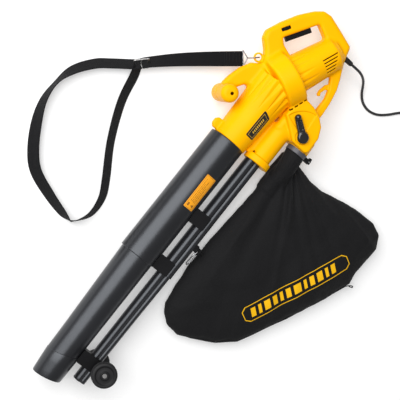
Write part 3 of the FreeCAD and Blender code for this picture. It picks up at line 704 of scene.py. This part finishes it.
def grip_box(along, out):
    """Corners of a block set along the grip: ranges along it and out of it."""
    return [tuple(GRIP_AT + GRIP_ALONG * a + GRIP_OUT * b)
            for a, b in ((along[0], out[0]), (along[1], out[0]), (along[1], out[1]),
                         (along[0], out[1]))]


def inset(points, distance):
    """A polygon drawn in from its corners, for rounding outwards again."""
    middle = []
    count = len(points)
    area = sum(points[i - 1][0] * points[i][1] - points[i][0] * points[i - 1][1] for i in range(count))
    turn = 1.0 if area > 0 else -1.0
    for i in range(count):
        here = Vector(points[i])
        back = (here - Vector(points[i - 1])).normalized()
        ahead = (Vector(points[(i + 1) % count]) - here).normalized()
        normal = Vector((-back.y - ahead.y, back.x + ahead.x)) * turn
        size = normal.length
        if size > 1e-6:
            normal = normal / size
        reach = distance / max(0.5, size / 2)
        middle.append(tuple(here + normal * reach))
    return middle


def flutes(count, depth, half, start, run):
    """Triangular flutes round a cone, which deepen over a run from their start."""
    def cut(along, angle):
        share = np.clip((along - start) / run, 0.001, 1)
        phase = (angle * count / (2 * np.pi)) % 1.0
        return -depth * share * np.clip(1.0 - np.abs(phase - 0.5) / (half * share), 0, 1)
    return cut


def housing_lumps(f):
    """Outer shapes in joining order, each with the reach of its fillet."""
    yield f.cone(motor_at(-25), motor_at(25), SCROLL_R - 1.5, SCROLL_R, 7), 3
    yield f.cone(motor_at(130), motor_at(163), 40, 34, 10), 6
    yield f.slab(DUCT_WEB, -10, 10, 2), 3
    yield f.cone((4, DUCT_Y), (112, DUCT_Y), 29, 29, 3), 5
    yield f.cone((0, DUCT_Y), (18, DUCT_Y), 36, 36, 2.5), 2.5
    yield f.slab(inset(DUCT_END, 8), -30, 30, 14, 8), 8
    box = f.slab(inset(LEVER_BOX, 8), -42, 42, 6, 8)
    yield blend_min(box, f.cone((97, SPOUT_Y), (135, SPOUT_Y), 28, 26, 3), 8), 5
    yield f.slab(inset(HANDLE_OUTER, 12), -HANDLE_HALF, HANDLE_HALF, 11, 12), 9
    yield f.slab(inset(STRUT, 3), -10, 10, 5, 3), 6
    yield f.slab(inset(ARM, 6), -14, 14, 9, 6), 15
    yield f.upright(BAR, 23, -58, 58, 13), 8
    yield f.slab(inset(EAR, 4), -9, 9, 4, 4), 4
    yield f.slab(inset(CABLE_HOOK, 1.2), -5, 5, 2, 1.2), 3
    yield f.upright(LOOP_AT, 12.5, -4.5, 4.5, 2.5), 3


def housing_outside(f):
    inlet = f.cone((0, 4), motor_at(-20), INLET_R, 58, 2, flutes(16, 5.0, 0.40, 100, 72))
    casing = f.cone(motor_at(18), motor_at(152), 51, 43.5, 8, flutes(14, 4.5, 0.38, 70, -70))
    body = np.minimum(inlet, casing)
    for lump, reach in housing_lumps(f):
        body = blend_min(body, lump, reach)
    return body


def housing_inside(f):
    """Inlet, fan chamber, motor bay, shaft bore, duct, outlet chamber, spout and bar."""
    return reduce(np.minimum, (
        f.cone((-4, 4), motor_at(-21), 43, 54, 2), f.cone(motor_at(-22), motor_at(22), 70.5, 71, 4),
        f.cone(motor_at(26), motor_at(150), 47, 40, 4), f.cone(motor_at(10), motor_at(40), 14, 14),
        f.cone((8, DUCT_Y), (108, DUCT_Y), 25.5, 25.5),
        f.slab(inset(LEVER_BOX, 10), -38.5, 38.5, 4, 6.5),
        f.cone((98, SPOUT_Y), (127, SPOUT_Y), 24.8, 24.8), f.upright(BAR, 19, -80, 54)))


def sector_recess(f):
    """The fan-shaped pocket that the selector lever swings in."""
    dx, dy = f.x - SELECTOR[0], f.y - SELECTOR[1]
    radius = np.sqrt(dx * dx + dy * dy)
    angle = np.arctan2(dy, dx)
    middle, half = math.radians(39), math.radians(33)
    wedge = radius * np.sin(np.clip(np.abs(angle - middle) - half, -1.5, 1.5))
    plan = np.maximum(radius - 66, np.where(radius < 18, radius - 18, wedge))
    return np.maximum(plan, 39.4 - f.z)


def vent_slots(f):
    """Five rows of slots at the motor's rear end, on both sides."""
    cuts = []
    for row in range(5):
        side, far = 3.0 - 8.3 * row, 146 - 5 * row
        cuts.append(f.slab([motor_at(100, side - 1.3), motor_at(far, side - 1.3),
                            motor_at(far, side + 1.3), motor_at(100, side + 1.3)], 24, 80))
    vents = reduce(np.minimum, cuts)
    return np.minimum(vents, vents[:, :, ::-1])


def housing_cuts(f):
    """Vents, dashes, holes and mouths, cut once the hollow is drawn."""
    yield vent_slots(f)
    for number in range(4):
        x, y = 159 + 13.6 * number, -61 - 4.5 * number
        yield f.slab([(x - 4, y + 2.8), (x + 4, y - 0.4), (x + 3.4, y - 2.4), (x - 4.6, y + 0.8)],
                     26, 80, 0, 0.6)
    yield f.upright(LOOP_AT, 8.3, -20, 20)
    for x, y, half in SCREW_SITES:
        yield f.upright((x, y), SCREW_HOLE_R, -80, 3.2 - half)
    yield f.upright((BAR[0] + 2, BAR[1] - 3), SCREW_HOLE_R, 50, 80)
    yield f.upright(SELECTOR, 6.6, 30, 60)
    yield f.slab(grip_box((-2, 73), (-4.5, 14)), -7, 7)
    yield f.slab(grip_box((-5.5, 19.5), (-23.3, -14.7)), 10, 30)
    yield f.slab(grip_box((-6, 74), (-31, -3.5)), -12, 12, 3)
    yield f.cone((353, -70), (353, -120), 6.6, 6.6)
    yield f.cone((70, SPOUT_Y), (110, SPOUT_Y), 24.1, 24.1)
    for lobe, half_y, half_z in ((-69.3, 14.2, 20.2), (-86, 12.2, 15.2)):
        tube = (np.sqrt(((f.y - lobe) / half_y) ** 2 + (f.z / half_z) ** 2) - 1) * half_y
        yield np.maximum(tube, f.x - 24)


def make_housing():
    step = 1.5
    f = Field((-6, -186, -76), (416, 122, 76), step)
    opening = f.slab(inset(HANDLE_OPENING, 7), -30, 30, 0, 7)
    outside = blend_cut(housing_outside(f), opening, 9)
    outside = blend_cut(outside, sector_recess(f), 1.2)
    hollow = np.maximum(housing_inside(f), outside + max(WALL, 2.1 * step))
    shell = np.maximum(cut_away(outside, housing_cuts(f)), -hollow)
    for side, plane in (("left", 0.25 - f.z), ("right", f.z + 0.25)):
        field_piece("housing_shell_" + side, "housing_" + side, f, np.maximum(shell, plane),
                    "yellow_plastic")


# Selector lever
LEVER_HEADING = math.radians(54.5)
LEVER_REACH = 53


def lever_at(distance, side):
    """A layout place along the selector lever, and off to its side."""
    c, s = math.cos(LEVER_HEADING), math.sin(LEVER_HEADING)
    return (SELECTOR[0] + c * distance - s * side, SELECTOR[1] + s * distance + c * side)


def make_selector():
    f = Field((100, -150, 38), (172, -60, 60), 0.7)
    hub = f.upright(SELECTOR, 15, 42.6, 54.6, 5.5)
    arm = f.slab([lever_at(0, -6), lever_at(LEVER_REACH, -4.4), lever_at(LEVER_REACH, 4.4),
                  lever_at(0, 6)], 42.6, 53.5, 4, 4.2)
    waist = f.slab([lever_at(22, -1.4), lever_at(44, -1.4), lever_at(44, 1.4), lever_at(22, 1.4)],
                   52, 60, 0, 2)
    x, y = lever_at(LEVER_REACH, 0)
    tip = np.sqrt((f.x - x) ** 2 + (f.y - y) ** 2 + (f.z - 51) ** 2) - 8.2
    lever = blend_min(blend_min(hub, arm, 3), np.maximum(tip, 42.6 - f.z), 2.5)
    lever = blend_cut(lever, waist, 1.2)
    lever = np.maximum(lever, -f.upright(SELECTOR, 6.1, 30, 51))
    field_piece("selector_lever", "mode_lever", f, lever, "gloss_black", "selector",
                "black_plastic")


# Tubes
TUBE_V, TUBE_R = 8.5, 48.5
LOWER_V, LOWER_R = 8.2, 45.2
SEAM_X, NOZZLE_X = -363.0, -655.0
TUBE_WALL, BLOW_WALL = 2.2, 2.0
LOWER_TAPER = 5.7

LINE = 0.28
SEAMS = (math.radians(38), math.radians(218))


def tube_ring(x, y, radius, slant=0.0, line=0.0):
    """A ring about the tube; slant tips it, line raises the moulding line on its flanks."""
    ring = []
    for angle in circle(120):
        reach = radius
        for seam in SEAMS:
            off = math.atan2(math.sin(angle - seam), math.cos(angle - seam)) * radius
            reach += line * math.exp(-(off / 0.9) ** 2)
        side = reach * math.cos(angle)
        ring.append(at(x - slant * side, y + side, MID_Z + reach * math.sin(angle)))
    return ring


def tube_piece(name, node, pairs):
    """One wall through pairs of an outer and an inner ring."""
    outer, inner = zip(*pairs)
    tube = rings_mesh(name, outer + inner[::-1], "tube_plastic", closed=True)
    smooth_by_angle(tube, 50)
    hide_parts(node)


def make_suction_tube():
    pairs = []
    for x, grow in ((0, -1.0), (-0.8, -0.2), (-2, 0), (-20, 0), (-120, 0), (-240, 0), (-340, 0),
                    (-359, 0), (-361, 0.25), (-362.4, -0.1), (-363, -1.0)):
        pairs.append((tube_ring(x, TUBE_V, TUBE_R + grow, 0, LINE),
                      tube_ring(x, TUBE_V, TUBE_R - TUBE_WALL)))
    tube_piece("suction_tube_top", "suction_tube_upper", pairs)
    pairs = []
    for x, grow, slant in ((-313, -0.8, 0), (-314, 0, 0), (-330, 0, 0), (-362, 0, 0), (-372, 0, 0),
                           (-450, 0, 0), (-540, 0, 0), (-620, 0, 0), (-662, 0, 0.287)):
        share = min(1.0, max(0.0, (SEAM_X - x) / (SEAM_X - NOZZLE_X)))
        radius = LOWER_R - LOWER_TAPER * share
        y = LOWER_V - LOWER_R + radius
        pairs.append((tube_ring(x, y, radius + grow, slant, LINE),
                      tube_ring(x, y, radius - TUBE_WALL, slant)))
    tube_piece("suction_tube_end", "suction_tube_lower", pairs)


def make_nozzle():
    pairs = []
    for x, slant, grow in ((-661, 0.287, -0.6), (-661.8, 0.287, 0.8), (-663, 0.285, 1.2),
                           (-690, 0.26, 0.9), (-715, 0.22, 0.4), (-731, 0.20, 0),
                           (-732.8, 0.194, -0.3), (-733.6, 0.194, -1.2)):
        share = (-640 - x) / 120
        radius = 40.6 - 4.6 * share
        y = 2.6 - 4.6 * share
        pairs.append((tube_ring(x, y, radius + grow, slant, 0.25),
                      tube_ring(x, y, radius - 3.1, slant)))
    tube_piece("nozzle", "suction_nozzle", pairs)


def lobes_ring(x, lobes, grow=0.0):
    """The outline of two overlapping ovals side by side: (y, half z, half y) each."""
    ring = []
    middle = sum(lobe[0] for lobe in lobes) / 2
    for angle in circle(110):
        c, s = math.cos(angle), math.sin(angle)
        best = 0.0
        for y, half_z, half_y in lobes:
            a, b, off = half_y + grow, half_z + grow, y - middle
            aa = (c / a) ** 2 + (s / b) ** 2
            bb = -2 * off * c / a ** 2
            cc = (off / a) ** 2 - 1
            root = bb * bb - 4 * aa * cc
            if root > 0:
                best = max(best, (-bb + math.sqrt(root)) / (2 * aa))
        ring.append(at(x, middle + best * c, MID_Z + best * s))
    return ring


def make_blow_tube():
    pairs = []
    for x, grow in ((21.6, -0.8), (21, 0), (-20, 0), (-150, 0), (-300, 0), (-356, 0), (-359, 0.3),
                    (-360, -0.8)):
        lobes = (-69.3, 20, 14), (-86, 15, 12)
        pairs.append((lobes_ring(x, lobes, grow), lobes_ring(x, lobes, -BLOW_WALL)))
    tube_piece("blow_tube_top", "blow_tube_upper", pairs)
    pairs = []
    for x, grow in ((-331, -0.6), (-332, 0), (-360, 0), (-450, 0), (-560, 0), (-690, 0),
                    (-696, 0.1), (-697, -0.8)):
        share = (-330 - x) / 367
        lobes = ((-69, 17.6 - 1.1 * share, 12.0 - 0.5 * share),
                 (-86 + 4 * share, 12.6 - 0.6 * share, 9.6 - 0.1 * share))
        pairs.append((lobes_ring(x, lobes, grow), lobes_ring(x, lobes, -BLOW_WALL)))
    tube_piece("blow_tube_end", "blow_tube_lower", pairs)


# Wheels
TYRE = [(0.0, 5.9), (0.0, 27.0), (1.0, 28.5), (1.6, 30.6), (3.4, 32.0), (6.0, 32.5), (8.4, 32.5),
        (9.0, 31.6), (13.0, 31.6), (13.6, 32.5), (16.0, 32.5), (18.6, 32.0), (20.6, 30.4),
        (21.6, 28.2), (22.0, 26.2), (21.4, 24.4), (19.6, 23.2), (18.0, 21.0), (17.8, 15.0),
        (18.6, 12.0), (20.6, 10.6), (22.0, 9.2), (22.0, 7.4), (20.8, 6.3), (15.0, 5.9)]
TYRE_START = 52


def make_wheels():
    """Each tyre turns a profile of (distance out along the axle, radius) about the axle."""
    for name, side in (("left", 1), ("right", -1)):
        base = at(WHEEL_X, WHEEL_Y, MID_Z + side * TYRE_START)
        rings = [[base + Vector((r * math.cos(angle), r * math.sin(angle), side * d)) * MM
                  for d, r in TYRE] for angle in circle(96)]
        wheel = rings_mesh("tyre_" + name, rings, "rubber_black", closed=True,
                           body="wheel_" + name + "_body")
        smooth_by_angle(wheel, 32)
        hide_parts("wheel_" + name)


# Labels
RAY_FROM = 400


def print_bars(name, tree, outlines, material, slot, lift=0.25, step=3.0):
    """Thin printed shapes laid onto a surface from above; outlines are layout polygons."""
    verts, faces = [], []
    for outline in outlines:
        bm = bmesh.new()
        bm.faces.new([bm.verts.new((x, y, 0)) for x, y in outline])
        for axis in (0, 1):
            normal = Vector((1 - axis, axis, 0))
            place = min(point[axis] for point in outline) + step
            while place < max(point[axis] for point in outline):
                everything = bm.verts[:] + bm.edges[:] + bm.faces[:]
                bmesh.ops.bisect_plane(bm, geom=everything, plane_co=normal * place,
                                       plane_no=normal)
                place += step
        bmesh.ops.triangulate(bm, faces=bm.faces[:])
        bm.verts.index_update()
        start = len(verts)
        height = 0.0
        for vert in bm.verts:
            over = at(vert.co.x, vert.co.y, RAY_FROM)
            hit = tree.ray_cast(over, -UP)[0]
            height = hit.z if hit else height
            verts.append(Vector((over.x, over.y, height + lift * MM)))
        faces += [tuple(start + v.index for v in face.verts) for face in bm.faces]
        bm.free()
    return add_mesh(name, verts, faces, material, slot=slot, fix=False)


def tree_of(piece):
    mesh = piece.data
    points = [piece.matrix_world @ v.co for v in mesh.vertices]
    return BVHTree.FromPolygons(points, [tuple(p.vertices) for p in mesh.polygons])


def frame_bars(left, bottom, right, top, width, slope=0.0):
    """Four thin bars round a box whose right side may lean."""
    return [[(left, bottom), (right, bottom), (right, bottom + width), (left, bottom + width)],
            [(left, top - width), (right + slope, top - width), (right + slope, top), (left, top)],
            [(left, bottom), (left + width, bottom), (left + width, top), (left, top)],
            [(right - width, bottom), (right, bottom), (right + slope, top), (right + slope - width, top)]]


MARK_STARTS = (50, 55.5, 61, 66.5, 72, 77.5, 83, 88.5)
STICKER_ROWS = ((-176, -108), (-176, -122), (-176, -112), (-176, -130))


def make_labels():
    badge = tree_of(nodes["badge_plate"])
    print_bars("badge_outline", badge, frame_bars(40, -27, 99, -10, 0.8, 5.5), "badge_gold",
               "badge_black")
    marks = [[(x, -21.5), (x + 3.2, -21.5), (x + 4.4, -15.5), (x + 1.2, -15.5)]
             for x in MARK_STARTS]
    print_bars("badge_marks", badge, marks, "badge_gold", "badge_black")
    shapes = frame_bars(-194, -20, -101, 5, 0.7)
    for row, (place, end) in enumerate(STICKER_ROWS):
        y = -1 - 4.4 * row
        while place < end:
            size = random.choice((3, 5, 7, 9))
            stop = min(place + size, end)
            shapes.append([(place, y), (stop, y), (stop, y + 1.3), (place, y + 1.3)])
            place += size + 1.6
    shapes += [[(-190, -16), (-181, -16), (-185.5, -8)],
               [(-190, -3), (-181, -3), (-181, 2), (-190, 2)]]
    print_bars("sticker_marks", tree_of(nodes["tube_sticker"]), shapes, "print_dark",
               "sticker_orange")


# Collecting bag
BAG = [(80, -134), (22, -131), (-40, -138), (-120, -134), (-195, -128), (-240, -125), (-301, -124),
       (-373, -130), (-415, -137), (-438, -152), (-457, -176), (-461, -214), (-447, -246),
       (-424, -280), (-416, -308), (-390, -330), (-382, -351), (-320, -387), (-255, -420),
       (-203, -449), (-152, -475), (-111, -487), (-79, -503), (-47, -497), (-19, -498),
       (38, -502), (71, -483), (85, -450), (83, -387), (73, -332), (61, -273), (62, -243),
       (67, -216), (74, -190)]
BAG_SEAM = 38.0
NECK = (84.0, -151.0)
ZIP_LINE = [(-455, -216), (-447, -246), (-416, -308), (-380, -353), (-255, -421), (-90, -498)]
BAG_LOW, BAG_HIGH = (-478, -520, -74.5), (100, -104, 32)
BAG_TOP = 68.0


def fold_height(x, y):
    """Soft folds that spread from the neck, over a slow drape and small ripples."""
    dx, dy = x - NECK[0], y - NECK[1]
    reach = math.hypot(dx, dy)
    angle = math.atan2(dy, dx)
    near = math.exp(-reach / 260.0)
    spread = noise.noise(Vector((angle * 3.4, reach / 520.0, 1.7)))
    fine = noise.noise(Vector((angle * 8.0 + spread, reach / 300.0, 4.2)))
    ridge = 1.0 - 2.2 * abs(spread)
    drape = noise.noise(Vector((x / 150.0, y / 120.0, 9.1)))
    small = noise.noise(Vector((x / 52.0 + drape, y / 46.0, 3.3)))
    return (24.0 * ridge + 14.0 * fine) * near + 9.0 * drape + 3.4 * small


def dome(depth, run):
    """A quarter circle's rise over a run in from the outline."""
    return np.sqrt(1 - (1 - np.clip(depth / run, 0, 1)) ** 2)


def bag_neck(f):
    """The pleated sleeve from the collar, which sinks as it leaves the spout."""
    along = np.clip((84 - f.x) / 42, 0, 1.4)
    side = f.y - NECK[1] + 7 * along
    angle = np.arctan2(f.z, side)
    pleats = 1.1 * np.sin(angle * 17 + 0.4 * np.sin(f.x / 9)) * np.clip((80 - f.x) / 18, 0, 1)
    sink = 34 * np.clip((70 - f.x) / 90, 0, 1) ** 1.4
    sleeve = np.sqrt(side * side + (f.z + sink) ** 2) - (27 + pleats - 3 * along)
    return np.maximum(sleeve, np.maximum(f.x - 84, -30 - f.x))


def make_bag():
    step = 2.6
    f = Field(BAG_LOW, BAG_HIGH, step)
    folds, pucker, wander = np.zeros((3, *f.size[:2]), np.float32)
    for i in range(f.size[0]):
        for j in range(f.size[1]):
            x, y = BAG_LOW[0] + step * i, BAG_LOW[1] + step * j
            folds[i, j] = fold_height(x, y)
            pucker[i, j] = noise.noise(Vector((x / 17.0, y / 17.0, 2.0)))
            wander[i, j] = noise.noise(Vector((x / 34.0, y / 34.0, 7.0)))
    plan = f.flat(inset(BAG, 8)) - 8 + 2.2 * wander[:, :, None]
    depth = np.maximum(-plan[:, :, 0], 0)
    edge = np.exp(-depth / 16) * np.clip(depth / 4, 0, 1)
    seam = BAG_SEAM - MID_Z
    top = seam + (BAG_TOP - BAG_SEAM) * dome(depth, 125) + folds * np.clip(depth / 40, 0, 1) + \
        3.0 * pucker * edge
    bottom = seam - (BAG_SEAM - 0.5) * dome(depth, 55) - 2.0 * pucker * edge
    top = np.minimum(top, 82 - MID_Z)
    bottom = np.maximum(bottom, 0.4 - MID_Z)
    body = np.maximum(np.maximum(f.z - top[:, :, None], bottom[:, :, None] - f.z) * 0.8, plan)
    bag = field_piece("bag_cloth", "bag_fabric", f, blend_min(body, bag_neck(f), 16), "bag_cloth")
    relax = bag.modifiers.new("relax", "SMOOTH")
    relax.factor = 0.5
    relax.iterations = 4
    bake_modifiers(bag)
    make_bag_print(tree_of(bag))
    make_zip()


PANEL_START, PANEL_END = Vector((-320, -316)), Vector((-35, -446))
PANEL_HALF, PANEL_CHAMFER, PANEL_RIM = 22, 12, 4.0
BAR_WIDTHS = (13, 9, 17, 13, 9, 13, 21, 9, 13, 17, 9, 13)
BAR_START, BAR_GAP, BAR_SLANT, BAR_HALF = 20.0, 8.6, 5, 12


def make_bag_print(tree):
    """A yellow outlined panel with chamfered ends, filled with plain slanted bars."""
    along = (PANEL_END - PANEL_START).normalized()
    across = Vector((-along.y, along.x))
    length = (PANEL_END - PANEL_START).length

    def spot(a, b):
        return tuple(PANEL_START + along * a + across * b)

    half, cut = PANEL_HALF, PANEL_CHAMFER
    rim = [(0, -cut), (cut, -half), (length - cut, -half), (length, -cut), (length, cut),
           (length - cut, half), (cut, half), (0, cut)]
    inner = [(length / 2 + (x - length / 2) * (1 - PANEL_RIM / length), y * 0.91) for x, y in rim]
    shapes = [[spot(*rim[k - 1]), spot(*rim[k]), spot(*inner[k]), spot(*inner[k - 1])]
              for k in range(len(rim))]
    place = BAR_START
    for width in BAR_WIDTHS:
        shapes.append([spot(place, -BAR_HALF), spot(place + width, -BAR_HALF),
                       spot(place + width + BAR_SLANT, BAR_HALF), spot(place + BAR_SLANT, BAR_HALF)])
        place += width + BAR_GAP
    print_bars("bag_panel", tree, shapes, "print_yellow", "bag_cloth", 0.5, 4.0)


def walk(points, gap):
    """Even steps along a flat line of points: place and direction."""
    out = []
    carried = 0.0
    for first, second in zip(points[:-1], points[1:]):
        first, second = Vector(first), Vector(second)
        run = (second - first).length
        way = (second - first) / run
        while carried < run:
            out.append((first + way * carried, way))
            carried += gap
        carried -= run
    return out


def boxes_mesh(name, boxes, material, slot):
    """Many small blocks with tapered tops: each is centre, along, side, up and half sizes."""
    verts, faces = [], []
    for center, along, side, up, (a, b, c) in boxes:
        start = len(verts)
        for z, shrink in ((-c, 1.0), (c * 0.5, 1.0), (c, 0.7)):
            for x, y in ((-a, -b), (a, -b), (a, b), (-a, b)):
                verts.append(center + along * (x * shrink) + side * (y * shrink) + up * z)
        for ring in (start, start + 4):
            faces += [(ring + k, ring + (k + 1) % 4, ring + 4 + (k + 1) % 4, ring + 4 + k)
                      for k in range(4)]
        faces.append((start + 3, start + 2, start + 1, start))
        faces.append((start + 8, start + 9, start + 10, start + 11))
    return add_mesh(name, verts, faces, material, smooth=False, slot=slot)


ZIP_PITCH = 2.6
TAPE = ((-0.6, -4.2), (-1.2, 0), (-0.6, 4.2), (7.0, 5.2), (7.0, -5.2))
TOOTH = (0.7 * MM, 0.9 * MM, 1.3 * MM)
PULL = [(-93, -496, 38), (-86, -502, 38.6), (-80, -509, 38), (-78, -515, 37.5), (-82, -516, 37.5),
        (-85, -506, 38.2)]


def make_zip():
    """A tape along the seam, teeth to its two sides in turn, and the pull's tail."""
    tape, teeth = [], []
    for number, (spot, way) in enumerate(walk(ZIP_LINE, ZIP_PITCH)):
        center = at(spot.x, spot.y, BAG_SEAM)
        along = Vector((way.x, way.y, 0))
        side = Vector((-way.y, way.x, 0))
        wave = 0.5 * math.sin(number / 7.0)
        tape.append([center + side * ((b + wave) * MM) + UP * (c * MM) for b, c in TAPE])
        lift = 0.5 if number % 2 else -0.5
        teeth.append((center - side * ((1.2 - wave) * MM) + UP * (lift * MM), along, side, UP,
                      TOOTH))
    strip = rings_mesh("zip_tape", tape, "bag_cloth", capped=True)
    smooth_by_angle(strip, 40)
    chain = boxes_mesh("zip_teeth", teeth, "black_plastic", "bag_cloth")
    wire_piece("zip_tail", "zip_pull", PULL, 3, 1.3, "black_plastic", "bright_steel")
    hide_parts("bag_zip")
    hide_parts("bag_zip")


# Shoulder strap
WEB_WIDTH, WEB_THICK = 38.0, 2.0


def lying(x, y, lean):
    """A station whose lower edge rests on the floor."""
    angle = math.radians(lean)
    return (x, y, WEB_WIDTH / 2 * abs(math.sin(angle)) + WEB_THICK / 2 * abs(math.cos(angle)) + 0.2,
            lean)


STRAP_LEAD = [(186, 103, 50, 4), (155, 140, 41, 10), (116, 186, 30, 22), (75, 232, 22, 35),
              (30, 278, 18, 47), (15, 290, 18, 50)]
STRAP_FAR = [(14, 291, 18, 50), lying(2, 304, 50), lying(-30, 346, 50), lying(-58, 379, 52),
             lying(-104, 411, 60), lying(-153, 424, 80), lying(-207, 421, 68),
             lying(-262, 399, 52), lying(-318, 364, 46), lying(-355, 326, 46),
             lying(-380, 265, 50), lying(-396, 210, 62), lying(-400, 183, 87)]
STRAP_NEAR = [lying(-400, 183, 87), lying(-382, 166, 76), lying(-350, 152, 60),
              lying(-305, 156, 52), lying(-262, 178, 50), lying(-181, 228, 50),
              lying(-90, 268, 48), lying(-20, 284, 46), lying(4, 292, 50)]
STRAP_HEM = [(183, 106.5, 49.2, 4), (170, 122, 45.4, 7), (157, 138, 41.6, 10)]
BAND_HALF = ((-1.0, 0.0), (-0.985, 0.8), (-0.93, 1.0), (-0.5, 0.86), (0.0, 0.82), (0.5, 0.86),
             (0.93, 1.0), (0.985, 0.8))
BAND = BAND_HALF + tuple((-w, -t) for w, t in BAND_HALF)


STATION_PARTS = 14


def smooth_stations(stations):
    """Catmull-Rom steps through stations."""
    out = []
    count = len(stations)
    for i in range(count - 1):
        p = [Vector(stations[max(0, min(count - 1, i + k))]) for k in (-1, 0, 1, 2)]
        for part in range(STATION_PARTS):
            t = part / STATION_PARTS
            out.append(0.5 * (2 * p[1] + (p[2] - p[0]) * t +
                              (2 * p[0] - 5 * p[1] + 4 * p[2] - p[3]) * t * t +
                              (3 * p[1] - p[0] - 3 * p[2] + p[3]) * t ** 3))
    out.append(Vector(stations[-1]))
    return out


def ribbon(name, node, stations, rise=0.0, width=WEB_WIDTH):
    """A band of webbing with woven edges, its UV in metres across and along."""
    steps = smooth_stations(stations)
    rings, lengths = [], []
    travelled = 0.0
    for i, here in enumerate(steps):
        before, after = steps[max(i - 1, 0)], steps[min(i + 1, len(steps) - 1)]
        along = Vector((after[0] - before[0], after[1] - before[1], 0)).normalized()
        side = Vector((-along.y, along.x, 0))
        lean = math.radians(here[3] + 1.6 * noise.noise(Vector((travelled * 9, 0.5, rise))))
        wide = side * math.cos(lean) + UP * math.sin(lean)
        face = UP * math.cos(lean) - side * math.sin(lean)
        center = at(here[0], here[1], here[2]) + face * (rise * MM)
        rings.append([center + wide * (w * width / 2 * MM) + face * (t * WEB_THICK / 2 * MM)
                      for w, t in BAND])
        lengths.append(travelled)
        if i + 1 < len(steps):
            travelled += (Vector(steps[i + 1][:3]) - Vector(here[:3])).length * MM
    band = rings_mesh(name, rings, "strap_webbing", capped=True)
    layer = band.data.uv_layers.new(name="weave")
    for loop in band.data.loops:
        ring, k = divmod(loop.vertex_index, len(BAND))
        layer.data[loop.index].uv = (BAND[k][0] * width / 2 * MM, lengths[ring])
    smooth_by_angle(band, 60)
    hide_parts(node)


def make_strap():
    ribbon("strap_lead_band", "strap_lead", STRAP_LEAD)
    ribbon("strap_lead_hem", "strap_lead", STRAP_HEM, rise=1.9, width=37)
    ribbon("strap_far_band", "strap_loop_far", STRAP_FAR)
    ribbon("strap_near_band", "strap_loop_near", STRAP_NEAR)
    start, end = Vector(STRAP_HEM[0][:3]), Vector(STRAP_HEM[-1][:3])
    way = Vector((end.x - start.x, end.y - start.y, 0)).normalized()
    side = Vector((-way.y, way.x, 0))
    stitches = []
    for share in (0.12, 0.30, 0.5, 0.7, 0.88):
        row = at(*start.lerp(end, share)) + UP * (3.2 * MM)
        stitches += [(row + side * (float(b) * MM), side, way, UP,
                      (0.8 * MM, 0.35 * MM, 0.35 * MM)) for b in np.linspace(-14, 14, 12)]
    thread = boxes_mesh("strap_stitches", stitches, "rubber_black", "strap_webbing")
    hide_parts("strap_lead")


# Wire fittings: piece, CAD node, points, corner radius, wire radius, material, slot, closed
FITTINGS = [
    ("strap_triangle", "strap_hook", [(203, 117, 50), (172, 90, 50), (195, 95, 52)],
     5, 1.5, "wire_chrome", None, True),
    ("strap_shank", "strap_hook", [(194, 96, 51), (199, 90, 62), (200, 89, 72)],
     6, 1.5, "wire_chrome"),
    ("strap_gate", "strap_hook", [(211, 78, 67), (211, 78, 81), (200, 89, 81), (200, 89, 67)],
     6, 1.5, "wire_chrome", None, True),
    ("slider_frame", "strap_slider", [(20, 268, 6), (-4, 296, 6), (10, 310, 30), (36, 284, 30)],
     5, 2.0, "bright_steel", None, True),
    ("slider_bar", "strap_slider", [(8, 282, 6), (15, 290, 18), (23, 297, 30)],
     0, 2.0, "bright_steel"),
    ("bag_hook_wire", "bag_snap_hook",
     [(-262, -117, 66), (-264, -109, 68), (-264, -109, 80), (-276, -104, 80), (-302, -104, 74),
      (-306, -108, 70), (-300, -112, 68), (-270, -114, 66)], 5, 1.6, "wire_chrome"),
    ("bag_hook_cord", "bag_loop", [(-262, -132, 44), (-262, -125, 62), (-262, -118, 66)],
     8, 2.2, "rubber_black", "bag_cloth")]


def make_wires():
    for fitting in FITTINGS:
        wire_piece(*fitting)


# Stage
FLOOR_SIZE, FLOOR_Z = 30.0, -0.0004
FLOOR_LOOK = {"Base Color": (0.72, 0.72, 0.72, 1), "Roughness": 0.9, "Specular IOR Level": 0.0,
              "Emission Color": (1, 1, 1, 1), "Emission Strength": 0.3}
SKY = 0.28
LIGHT_OFFSET = Vector((0.1, 1.75, 2.85))
LIGHT_POWER, LIGHT_WIDTH, LIGHT_LENGTH = 175, 3.0, 3.9


def make_stage():
    mesh = bpy.data.meshes.new("floor")
    mesh.from_pydata([(x * FLOOR_SIZE, y * FLOOR_SIZE, FLOOR_Z)
                      for x, y in ((-1, -1), (1, -1), (1, 1), (-1, 1))], [], [(0, 1, 2, 3)])
    look = Shader("floor")
    for key, value in FLOOR_LOOK.items():
        look.bsdf.inputs[key].default_value = value
    mesh.materials.append(look.material)
    place_new("floor", mesh)
    world = bpy.data.worlds.new("studio")
    bpy.context.scene.world = world
    world.use_nodes = True
    background = world.node_tree.nodes["Background"]
    background.inputs["Color"].default_value = (1, 1, 1, 1)
    background.inputs["Strength"].default_value = SKY
    bpy.context.scene.view_settings.view_transform = "Standard"


def make_light():
    """One large softbox, high up on the strap's side."""
    target = at(-150, 0, 0)
    place = target + LIGHT_OFFSET
    data = bpy.data.lights.new("key_softbox", "AREA")
    data.energy = LIGHT_POWER
    data.shape = "RECTANGLE"
    data.size, data.size_y = LIGHT_WIDTH, LIGHT_LENGTH
    light = place_new("key_softbox", data)
    light.location = place
    light.rotation_euler = (target - place).to_track_quat("-Z", "Y").to_euler()


def main():
    dress_kept_shapes()
    for make in (make_camera, make_cord, make_stage, make_light, make_housing, make_selector,
                 make_suction_tube, make_nozzle, make_blow_tube, make_wheels, make_labels,
                 make_bag, make_strap, make_wires):
        make()


main()
